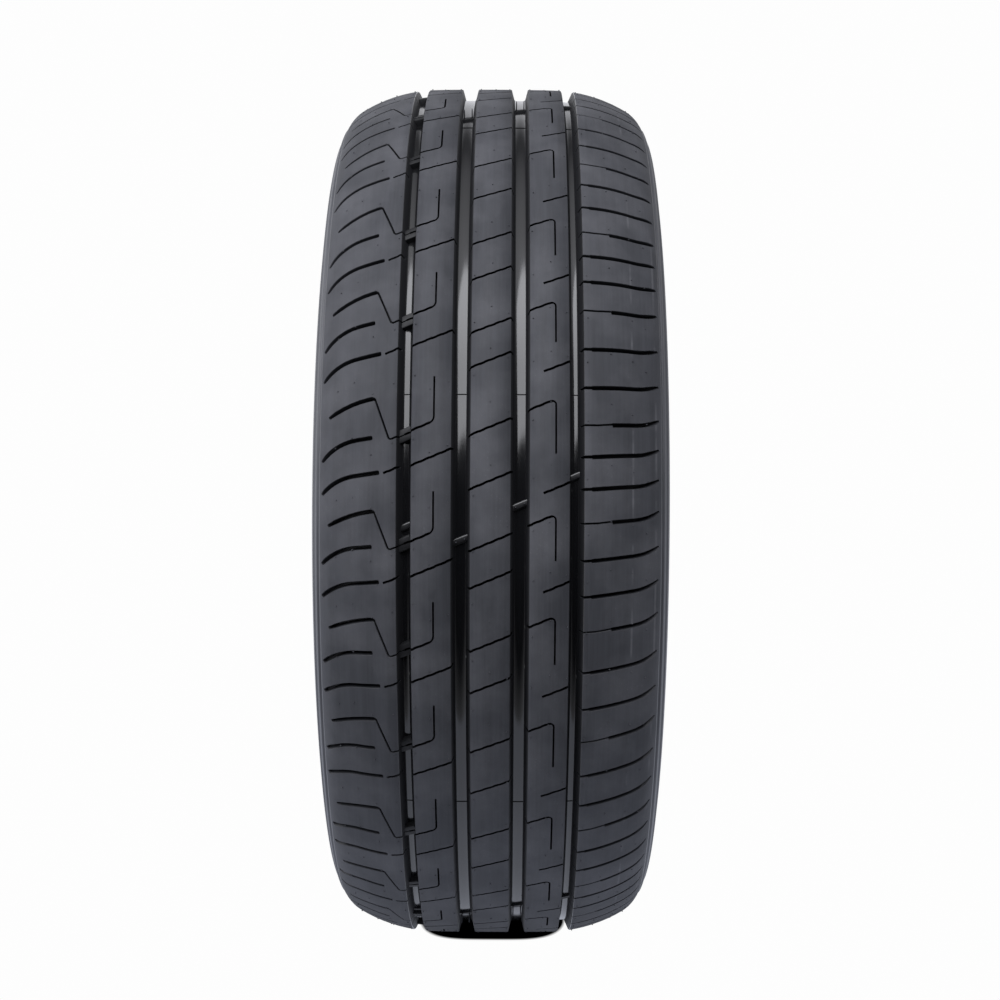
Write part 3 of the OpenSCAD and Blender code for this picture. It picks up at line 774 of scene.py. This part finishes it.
# The sipes get the near-black cut finish and the shoulder grooves the notch finish: both paint the shade
# inside the cuts.
cut_out = [blades.build(name, finish) for name, blades, finish in (
    ("middle_blades", sipes_middle, CUT), ("right_blades", sipes_right, CUT),
    ("left_blades", sipes_left, CUT), ("right_shoulder_blades", shoulder_right, NOTCH),
    ("left_shoulder_blades", shoulder_left, NOTCH))]
cut_out.append(ground_block())
for obj in [tyre] + joined + cut_out:
    for material in slots:
        obj.data.materials.append(material)
for tool in joined:
    combine(tyre, tool, "UNION")
for tool in cut_out:
    combine(tyre, tool, "DIFFERENCE")
tyre.data.name = tyre.name

# %% [markdown]
# ## Clean shading on few faces
# After the cuts the smooth surface is made of long, thin faces, and averaged normals would ripple
# across them. The shape is known, though: a point that lies on the section's outline has that
# outline's normal, turned to the point's own angle. Those normals are written into the mesh, and
# only the bars and the walls of the cuts keep Blender's own.

# %% Normals from the section
ON_SURFACE = 0.03
SHARP = math.radians(32)


def outline_normal_at(r, y):
    """Distance from the section's outline and the outline's normal there, for many points: each
    point is dropped onto its nearest side, and the side's two end normals are mixed."""
    a, b = SECTION, np.roll(SECTION, -1, 0)
    na, nb = SECTION_N, np.roll(SECTION_N, -1, 0)
    side = b - a
    best = np.full(len(r), 1e9)
    normal = np.zeros((len(r), 2))
    points = np.stack([r, y], 1)
    for k in range(len(a)):
        u = np.clip(((points - a[k]) @ side[k]) / (side[k] @ side[k]), 0, 1)[:, None]
        gap = np.linalg.norm(points - a[k] - u * side[k], axis=1)
        near = gap < best
        best[near] = gap[near]
        normal[near] = (na[k] * (1 - u) + nb[k] * u)[near]
    return best, normal / np.linalg.norm(normal, axis=1)[:, None]


def write_normals(obj):
    """Marks sharp edges, and gives every face that lies on the section the section's normals."""
    mesh = obj.data
    mesh.set_sharp_from_angle(angle=SHARP)
    co = np.empty(len(mesh.vertices) * 3)
    mesh.vertices.foreach_get("co", co)
    co = co.reshape(-1, 3) / MM
    angle = np.arctan2(co[:, 2], co[:, 0])
    gap, n = outline_normal_at(np.hypot(co[:, 0], co[:, 2]), co[:, 1])
    normal = np.stack([n[:, 0] * np.cos(angle), n[:, 1], n[:, 0] * np.sin(angle)], 1)
    total = np.empty(len(mesh.polygons), dtype=np.int32)
    finish = np.empty(len(mesh.polygons), dtype=np.int32)
    mesh.polygons.foreach_get("loop_total", total)
    mesh.polygons.foreach_get("material_index", finish)
    corner = np.empty(len(mesh.loops), dtype=np.int32)
    mesh.loops.foreach_get("vertex_index", corner)
    face = np.repeat(np.arange(len(total)), total)
    off = np.zeros(len(total), dtype=bool)
    np.logical_or.at(off, face, gap[corner] > ON_SURFACE)
    off |= (finish == CUT) | (finish == NOTCH)
    chosen = np.where(off[face][:, None], 0.0, normal[corner])
    mesh.normals_split_custom_set(chosen.tolist())
    print("faces with the section's normals:", int((~off).sum()), "of", len(total))


write_normals(tyre)

# %% [markdown]
# ## Vent stubs
# Rubber creeps into the mould's air vents and leaves short whiskers, which are trimmed to stubs.
# They stand in rows round the tread, and two longer ones are left on each wear bar of the middle
# grooves. There are hundreds, so each has only a few faces, and all of them are one mesh worked
# out in one go.

# %% Vent stubs
STUB_R, STUB_H, STUB_SIDES, STUB_ROOT, STUB_LEAST = 0.42, 0.75, 7, 0.3, 0.35
STUB_SHARES, STUB_SHIFT, SCATTER_UP, SCATTER_ACROSS = (0.27, 0.77), 0.06, 1.5, 0.5
WAIST_R, WAIST_H, TIP_R, CLEARANCE = 0.9, 0.8, 0.6, 0.0002
RIGHT_ROWS = (0.0, 10.4, 25.4, 36.0, 46.4, 58.6, 73.0, 86.4, 95.2)
LEFT_ROWS = (-10.4, -25.4, -36.4, -46.4, -58.6, -72.0, -83.6, -93.8)
WHISKER_R, WHISKER_H, WHISKER_GAP = 0.42, 6.2, 2.6


def stub_places():
    """Places of the stubs, two in each block and row, each a little off its row."""
    rng = np.random.default_rng(7)
    places = []
    for rows, row_blocks in ((RIGHT_ROWS, right_blocks), (LEFT_ROWS, left_blocks)):
        for start, pitch in row_blocks:
            for n, y in enumerate(rows):
                for share in STUB_SHARES:
                    t = start - pitch * (share + STUB_SHIFT * (n % 3)) + rng.uniform(-SCATTER_UP, SCATTER_UP)
                    across = y + rng.uniform(-SCATTER_ACROSS, SCATTER_ACROSS)
                    places.append((t, across, STUB_H * rng.uniform(STUB_LEAST, 1.0)))
    return np.array(places)


def whisker_places():
    """Places of the two longer whiskers that stand on each wear bar of the two middle grooves."""
    middles = [(span[0] + span[1]) / 2 for span in GROOVE_SPANS[1:3]]
    return np.array([(math.radians(row + turn) * OUTER_R + side * SLANT, middle + side)
                     for row in WEAR_ROWS for middle, turn in zip(middles, WEAR_TURNS[1:3])
                     for side in (-WHISKER_GAP, WHISKER_GAP)])


def cones(t, y, foot, top, r):
    """Short cones with a flat end for many places: three rings of points each, from a height to
    another, standing on the tread along its normal. Those that the ground presses are left out."""
    t, y, top = (np.reshape(v, (-1, 1)) for v in (t, y, top))
    turn = np.linspace(0, 2 * math.pi, STUB_SIDES, endpoint=False)
    rings = [on_tread(t + q * np.cos(turn), y + q * np.sin(turn), np.broadcast_to(z, (len(t), STUB_SIDES)))
             for q, z in ((r, foot), (r * WAIST_R, foot + (top - foot) * WAIST_H), (r * TIP_R, top))]
    co = np.stack(rings, 1)
    return co[co[:, :, :, 2].min((1, 2)) > -(OUTER_R - FLAT_DEPTH) * MM + CLEARANCE]


def vent_stubs(name):
    """All stubs and whiskers as one mesh: each has two rings of quads and a cap at each end."""
    t, y, h = stub_places().T
    wt, wy = whisker_places().T
    bar_top = WEAR_H - GROOVE_DEPTH
    stubs_co = cones(t, y, -STUB_ROOT, h, STUB_R)
    whiskers_co = cones(wt, wy, bar_top - STUB_ROOT, np.full(len(wt), bar_top + WHISKER_H), WHISKER_R)
    co = np.concatenate([stubs_co, whiskers_co])
    base = (np.arange(len(co)) * 3 * STUB_SIDES)[:, None, None]
    k = np.arange(STUB_SIDES)
    k2 = (k + 1) % STUB_SIDES
    ring = [np.stack([k + q, k2 + q, k2 + q + STUB_SIDES, k + q + STUB_SIDES], 1) for q in (0, STUB_SIDES)]
    quads = (base + np.concatenate(ring)[None]).reshape(-1, 4)
    caps = np.concatenate([base[:, :, 0] + k[::-1], base[:, :, 0] + k + 2 * STUB_SIDES])
    finish = [np.full(len(f), TREAD) for f in (quads, caps)]
    return make_mesh(name, co.reshape(-1, 3), [quads, caps], finish)


stubs = vent_stubs("vent_stubs")
print("vent stub faces:", len(stubs.data.polygons))

# %% [markdown]
# ## Small tools for node trees
# A shader is a tree of nodes. Most of the work is to place a node and to fill its inputs, either
# with a value or with a link to another node. One helper does both from a list of inputs, and the
# others stand for what is needed most: a noise, a change of range and a sum. With them the formulas
# below read almost as they would on paper.

# %% Node helpers
EVEN = (1.0, 1.0, 1.0)


def add_node(tree, kind, inputs, **settings):
    """A node with its properties set. Its inputs are given by name or number: a socket is linked,
    and a value is written."""
    node = tree.nodes.new(kind)
    for key, value in settings.items():
        setattr(node, key, value)
    for key, value in inputs.items():
        if isinstance(value, bpy.types.NodeSocket):
            tree.links.new(value, node.inputs[key])
        else:
            node.inputs[key].default_value = value
    return node


def empty_tree(owner):
    """The node tree of a material or world, with nothing in it."""
    owner.use_nodes = True
    owner.node_tree.nodes.clear()
    return owner.node_tree


def axes_of(tree, output):
    """The X, Y and Z of a Texture Coordinate output."""
    where = add_node(tree, "ShaderNodeTexCoord", {})
    split = add_node(tree, "ShaderNodeSeparateXYZ", {"Vector": where.outputs[output]})
    return [split.outputs[axis] for axis in "XYZ"]


def noise_at(tree, scale, size, detail, roughness=0.55):
    """A noise pattern in object space, stretched by a Mapping node. Scale is per metre and axis."""
    where = add_node(tree, "ShaderNodeTexCoord", {})
    mapping = add_node(tree, "ShaderNodeMapping", {"Vector": where.outputs["Object"], "Scale": scale})
    noise = add_node(tree, "ShaderNodeTexNoise", {"Vector": mapping.outputs["Vector"], "Scale": size,
                                                  "Detail": detail, "Roughness": roughness})
    return noise.outputs["Fac"]


def remap(tree, value, low, high, to_low=0.0, to_high=1.0):
    """A value spread from one range to another, and kept inside it."""
    spread = {"Value": value, "From Min": low, "From Max": high, "To Min": to_low, "To Max": to_high}
    return add_node(tree, "ShaderNodeMapRange", spread).outputs["Result"]


def calc(tree, operation, value, *others):
    """A sum, product or other operation of sockets or numbers, taken from left to right."""
    for other in others or (0.0,):
        value = add_node(tree, "ShaderNodeMath", {0: value, 1: other}, operation=operation).outputs[0]
    return value


# %% [markdown]
# ## Rubber finishes
# All the rubber is one compound, and the mould gives it different skins: the tread face is matt
# with faint streaks along its running direction, the groove floors are smooth and shiny, their
# walls and the bars are duller, and the sidewall is satin. The walls, the bars, the notches and the
# sipes get darker copies of the tread's colour, painted shade for the dark inside the grooves and
# cuts, so the sipes are nearly black; the groove floors' dark colour is partly painted shade too.
# The effects they share are node groups with named sockets, placed in each material with its own
# values.

# %% Shader groups
SCUFFS, SCUFF_CORE, SCUFF_EDGE = (0.0863, 0.101), 0.0002, 0.0009


def new_group(name, inputs, output):
    """An empty node group with named float inputs and one float output."""
    group = bpy.data.node_groups.new(name, "ShaderNodeTree")
    for label, default in inputs:
        socket = group.interface.new_socket(name=label, in_out="INPUT", socket_type="NodeSocketFloat")
        socket.default_value = default
    group.interface.new_socket(name=output, in_out="OUTPUT", socket_type="NodeSocketFloat")
    return group, group.nodes.new("NodeGroupInput").outputs


def streak_group():
    """Streaks along the running direction: noise that changes fast across the tyre and slowly
    round it, in a broad band and a fine one."""
    group, given = new_group("running_streaks", [("Strength", 1.0)], "Streaks")
    broad = remap(group, noise_at(group, (9.0, 130.0, 9.0), size=1.0, detail=2.0), 0.35, 0.68, -0.5, 0.5)
    fine = remap(group, noise_at(group, (22.0, 700.0, 22.0), size=1.0, detail=2.0), 0.35, 0.65, -0.3, 0.3)
    total = calc(group, "MULTIPLY", calc(group, "ADD", broad, fine), given["Strength"])
    add_node(group, "NodeGroupOutput", {"Streaks": total})
    return group


def dust_group():
    """A thin film of mould dust: soft clouds a few centimetres wide, broken up by small specks."""
    group, given = new_group("dust_film", [("Strength", 1.0), ("Specks", 0.5)], "Dust")
    clouds = remap(group, noise_at(group, EVEN, size=26.0, detail=4.0), 0.4, 0.75)
    specks = remap(group, noise_at(group, EVEN, size=900.0, detail=2.0, roughness=0.7), 0.62, 0.8)
    spots = calc(group, "MULTIPLY", specks, clouds, given["Specks"])
    film = calc(group, "ADD", calc(group, "MULTIPLY", clouds, 0.4), spots)
    add_node(group, "NodeGroupOutput", {"Dust": calc(group, "MULTIPLY", film, given["Strength"])})
    return group


def grain_group():
    """The skin's fine relief: a tight grain with a slow ripple under it."""
    group, given = new_group("rubber_grain", [("Grain", 1.0), ("Ripple", 1.0)], "Height")
    fine = noise_at(group, EVEN, size=2600.0, detail=3.0, roughness=0.6)
    slow = noise_at(group, EVEN, size=90.0, detail=2.0)
    grain = calc(group, "MULTIPLY", fine, given["Grain"])
    ripple = calc(group, "MULTIPLY", slow, given["Ripple"])
    add_node(group, "NodeGroupOutput", {"Height": calc(group, "ADD", grain, ripple)})
    return group


def scuff_group():
    """Hair-thin pale lines round the right shoulder, worn away in places: near each place across,
    the line is as strong as a noise that changes along it."""
    group, given = new_group("scuff_lines", [("Strength", 1.0)], "Scuff")
    across = axes_of(group, "Object")[1]
    worn = remap(group, noise_at(group, (38.0, 5.0, 38.0), size=1.0, detail=3.0), 0.48, 0.62)
    lines = 0.0
    for place in SCUFFS:
        gap = calc(group, "ABSOLUTE", calc(group, "SUBTRACT", across, place))
        lines = calc(group, "ADD", lines, remap(group, gap, SCUFF_CORE, SCUFF_EDGE, 1.0, 0.0))
    add_node(group, "NodeGroupOutput", {"Scuff": calc(group, "MULTIPLY", lines, worn, given["Strength"])})
    return group


STREAKS, DUST, GRAIN, SCUFF = streak_group(), dust_group(), grain_group(), scuff_group()
print("shader groups:", [g.name for g in bpy.data.node_groups])

# %% [markdown]
# ## One recipe, seven finishes
# Each finish mixes the base colour with the streaks and the dust, and lets them change the
# roughness a little too, because dust is always duller than the rubber under it.

# %% Materials
BASE = (0.0375, 0.039, 0.045)
DUST_COLOUR = (0.13, 0.13, 0.14, 1.0)
SPECKS, STREAK_ROUGH, DUST_ROUGH = 0.6, 0.12, 0.2


def rubber(material, shade, roughness, streaks, dust, grain, ripple, bump, specular, scuffs=0.0):
    """Fills a material. shade scales the base colour, and bump is the relief's depth in metres."""
    tree = empty_tree(material)

    def placed(group, output, inputs):
        """An output of a group that is placed in this material."""
        return add_node(tree, "ShaderNodeGroup", inputs, node_tree=group).outputs[output]

    streak = placed(STREAKS, "Streaks", {"Strength": streaks})
    film = placed(DUST, "Dust", {"Strength": dust, "Specks": SPECKS})
    if scuffs:
        film = calc(tree, "ADD", film, placed(SCUFF, "Scuff", {"Strength": scuffs}))
    base = {"Factor": 1.0, "A": tuple(c * shade for c in BASE) + (1.0,), "B": calc(tree, "ADD", 1.0, streak)}
    colour = add_node(tree, "ShaderNodeMix", base, data_type="RGBA", blend_type="MULTIPLY")
    cover = {"Factor": film, "A": colour.outputs["Result"], "B": DUST_COLOUR}
    dusty = add_node(tree, "ShaderNodeMix", cover, data_type="RGBA")
    rough = calc(tree, "ADD", calc(tree, "MULTIPLY", streak, STREAK_ROUGH),
                 calc(tree, "MULTIPLY", film, DUST_ROUGH), roughness)
    height = placed(GRAIN, "Height", {"Grain": grain, "Ripple": ripple})
    relief = add_node(tree, "ShaderNodeBump", {"Distance": bump, "Height": height})
    shader = add_node(tree, "ShaderNodeBsdfPrincipled", {
        "Base Color": dusty.outputs["Result"], "Roughness": rough, "Specular IOR Level": specular,
        "Normal": relief.outputs["Normal"]})
    add_node(tree, "ShaderNodeOutputMaterial", {"Surface": shader.outputs["BSDF"]})


RECIPES = {
    "tread_rubber": dict(shade=0.74, roughness=0.66, specular=0.2, streaks=0.22, dust=0.6,
                         grain=1.0, ripple=0.6, bump=0.00006, scuffs=0.3),
    # Smooth and shiny, and much darker than the tread: partly fresh glossy rubber, partly painted shade
    # between the groove's walls.
    "glossy_groove_rubber_painted_shade": dict(shade=0.1, roughness=0.14, specular=0.5, streaks=0.05, dust=0.03,
                          grain=0.2, ripple=0.5, bump=0.00002),
    "sidewall_rubber": dict(shade=0.9, roughness=0.5, specular=0.4, streaks=0.1, dust=0.35,
                            grain=0.7, ripple=0.6, bump=0.00005),
    "liner_rubber": dict(shade=0.8, roughness=0.6, specular=0.3, streaks=0.1, dust=0.4,
                         grain=1.0, ripple=1.5, bump=0.00012),
    # Painted shade: the cut finish is a near-black copy of the rubber for the dark inside the sipes, and the
    # mould lines get it too.
    "cut_rubber_painted_shade": dict(shade=0.05, roughness=0.6, specular=0.05, streaks=0.0, dust=0.03,
                       grain=0.5, ripple=0.3, bump=0.00003),
    # Painted shade: a dark copy of the rubber for the groove walls, the bars' tops and sides and the tie
    # bars.
    "wall_rubber_painted_shade": dict(shade=0.15, roughness=0.5, specular=0.2, streaks=0.0, dust=0.03,
                        grain=0.5, ripple=0.3, bump=0.00003),
    # Painted shade: a darker copy of the rubber inside the shoulder grooves.
    "notch_rubber_painted_shade": dict(shade=0.4, roughness=0.5, specular=0.2, streaks=0.0, dust=0.2,
                         grain=0.7, ripple=0.5, bump=0.00003),
}
for material in slots:
    rubber(material, **RECIPES[material.name])
stubs.data.materials.append(slots[TREAD])
print("materials:", [m.name for m in slots])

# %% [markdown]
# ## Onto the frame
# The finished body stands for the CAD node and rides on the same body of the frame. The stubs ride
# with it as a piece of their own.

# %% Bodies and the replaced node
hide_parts("tyre")
for piece in (tyre, stubs):
    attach(piece, "root")
print("on the root body:", tyre.name, stubs.name)

# %% [markdown]
# ## Studio floor
# The tyre stands on a white table that is lit so brightly that it only darkens where the tread
# almost touches it. A surface that glows by itself, with a painted contact shadow, a dark oval for
# the narrow gap under the tread, gives that look without noise. What the tyre itself gets from the
# table is painted a little dimmer close by, as painted shade where its own bulk keeps the light off.
# The table ends a little way in front of the tyre, and beyond it is darkness, which the smooth
# groove floors mirror as a black band round the picture's middle.

# %% Floor
WHITE, PURE, LIGHT_TINT = 0.985, (1.0, 1.0, 1.0, 1.0), (0.97, 0.98, 1.03)
# TABLE_DIM, DIM_FROM and DIM_TO paint shade into the glow that reaches the tyre, close to the contact.
TABLE_GLOW, TABLE_DIM, TABLE_TINT = 1.1, 0.55, (0.92, 0.97, 1.12, 1.0)
DIM_FROM, DIM_TO = 0.1, 0.22
TABLE_FRONT, TABLE_REACH = 0.4, 6.0
# SHADE_LENGTH, SHADE_WIDTH, SHADE_FROM and SHADE_TO size the painted contact shadow.
SHADE_LENGTH, SHADE_WIDTH, SHADE_FROM, SHADE_TO = 0.0685, 0.0547, 0.94, 1.12


def power_of(tree, place, half, power):
    """A place divided by the oval's half length or width, to a power."""
    return calc(tree, "POWER", calc(tree, "DIVIDE", place, half), power)


def studio_floor():
    """A white table top, level with the flat patch. Its painted contact shadow is a dark oval, which
    lies where (x / length) squared and (y / width) to the fourth add up to less than about one."""
    z = -(OUTER_R - FLAT_DEPTH) * MM
    corners = [(-TABLE_REACH, -TABLE_REACH, z), (TABLE_FRONT, -TABLE_REACH, z),
               (TABLE_FRONT, TABLE_REACH, z), (-TABLE_REACH, TABLE_REACH, z)]
    mesh = bpy.data.meshes.new("floor")
    mesh.from_pydata(corners, [], [[0, 1, 2, 3]])
    material = bpy.data.materials.new("studio_floor")
    mesh.materials.append(material)
    tree = empty_tree(material)
    material.cycles.emission_sampling = "NONE"
    x, y, _ = axes_of(tree, "Object")
    # Painted contact shadow: the glow fades out inside a dark oval under the tread.
    shadow_oval = calc(tree, "ADD", power_of(tree, x, SHADE_LENGTH, 2.0), power_of(tree, y, SHADE_WIDTH, 4.0))
    light = remap(tree, shadow_oval, SHADE_FROM, SHADE_TO)
    # Painted shade: the glow that lights the tyre and shows in its reflections is dimmer near the contact.
    where = add_node(tree, "ShaderNodeTexCoord", {}).outputs["Object"]
    reach = add_node(tree, "ShaderNodeVectorMath", {0: where, 1: (0.0, 0.0, z)}, operation="DISTANCE")
    shaded_bounce = remap(tree, reach.outputs["Value"], DIM_FROM, DIM_TO, TABLE_GLOW * TABLE_DIM, TABLE_GLOW)
    seen = add_node(tree, "ShaderNodeLightPath", {}).outputs["Is Camera Ray"]
    level = add_node(tree, "ShaderNodeMix", {"Factor": seen, "A": shaded_bounce, "B": WHITE}, data_type="FLOAT")
    tint = add_node(tree, "ShaderNodeMix", {"Factor": seen, "A": TABLE_TINT, "B": PURE}, data_type="RGBA")
    strength = calc(tree, "MULTIPLY", light, level.outputs["Result"])
    glow = add_node(tree, "ShaderNodeEmission", {"Color": tint.outputs["Result"], "Strength": strength})
    add_node(tree, "ShaderNodeOutputMaterial", {"Surface": glow.outputs["Emission"]})
    return add_object("floor", mesh)


floor = studio_floor()
print("the table ends", TABLE_FRONT, "m in front of the axle")

# %% [markdown]
# ## Light
# The room is the world's shader: its brightness depends on the direction in the room, so that each
# part of it stays where it is, wherever the camera goes. The walls behind and beside the tyre are
# white up to about 50 degrees above the floor, brighter to the left and beside the tyre, the
# ceiling is brighter towards the front, and the camera's side is nearly dark. One large soft box
# high in front, a little to the left, lights the tread.

# %% World and lamps
WALLS, CEILING_BACK, CEILING_FRONT, AHEAD, SIDE_LEAN, SIDE_GAIN = 0.95, 0.15, 1.9, 0.01, 0.55, 0.5
WALLS_X, WALLS_Z, SIDES_Y = (0.35, 0.75), (0.66, 0.85), (0.6, 1.0)
CEILING_X, CEILING_Z = (-0.4, 0.4), (0.6, 0.85)
LAMP_PLACE, LAMP_AIM, LAMP_SIZE, LAMP_POWER = (1.62, -0.35, 1.32), (0.3, 0.0, 0.1), (2.6, 1.7), 76.0


def room():
    """The studio's light from each direction: x is ahead, y to the right and z up. The camera
    itself sees plain white."""
    world = bpy.data.worlds.new("room")
    bpy.context.scene.world = world
    tree = empty_tree(world)
    x, y, z = axes_of(tree, "Generated")
    behind, low = remap(tree, x, *WALLS_X, WALLS, 0.0), remap(tree, z, *WALLS_Z, 1.0, 0.0)
    lean = remap(tree, y, -1.0, 1.0, 1.0 + SIDE_LEAN, 1.0 - SIDE_LEAN)
    beside = remap(tree, calc(tree, "ABSOLUTE", y), *SIDES_Y, 1.0, 1.0 + SIDE_GAIN)
    walls = calc(tree, "MULTIPLY", behind, low, lean, beside)
    ceiling = calc(tree, "MULTIPLY", remap(tree, x, *CEILING_X, CEILING_BACK, CEILING_FRONT),
                   remap(tree, z, *CEILING_Z))
    total = calc(tree, "ADD", walls, ceiling, AHEAD)
    lit = add_node(tree, "ShaderNodeBackground", {"Color": LIGHT_TINT + (1.0,), "Strength": total})
    seen = add_node(tree, "ShaderNodeBackground", {"Color": PURE, "Strength": WHITE})
    path = add_node(tree, "ShaderNodeLightPath", {}).outputs["Is Camera Ray"]
    chosen = add_node(tree, "ShaderNodeMixShader", {
        0: path, 1: lit.outputs["Background"], 2: seen.outputs["Background"]})
    add_node(tree, "ShaderNodeOutputWorld", {"Surface": chosen.outputs["Shader"]})


def soft_box(name, place, aim, size, power):
    """A rectangular lamp at a place, turned towards another."""
    light = bpy.data.lights.new(name, "AREA")
    light.shape = "RECTANGLE"
    light.size, light.size_y = size
    light.energy, light.color = power, LIGHT_TINT
    obj = add_object(name, light)
    obj.location = place
    away = np.array(place) - np.array(aim)
    flat = math.hypot(away[0], away[1])
    obj.rotation_euler = (math.atan2(flat, away[2]), 0, math.atan2(away[1], away[0]) + math.pi / 2)


room()
soft_box("front_box", LAMP_PLACE, LAMP_AIM, LAMP_SIZE, LAMP_POWER)

# %% [markdown]
# ## Camera
# The photograph was taken straight on at axle height, from 1.4 m. The lens, the small shifts and
# the quarter of a degree of roll come from a camera fitted to the tread's outline.

# %% Camera
camera = bpy.data.cameras.new("camera")
camera.sensor_width = 36.0
camera.lens = 65.33
camera.shift_x, camera.shift_y = -0.00886, 0.01084
camera.clip_start, camera.clip_end = 0.05, 50.0
eye = add_object("camera", camera)
eye.location = (1.4024, 0.0112, 0.0)
eye.rotation_euler = (math.pi / 2, -0.0045, math.pi / 2)
bpy.context.scene.camera = eye
bpy.context.scene.view_settings.view_transform = "Standard"
print("camera", round(eye.location.x, 3), "m ahead, lens", round(camera.lens, 2), "mm")
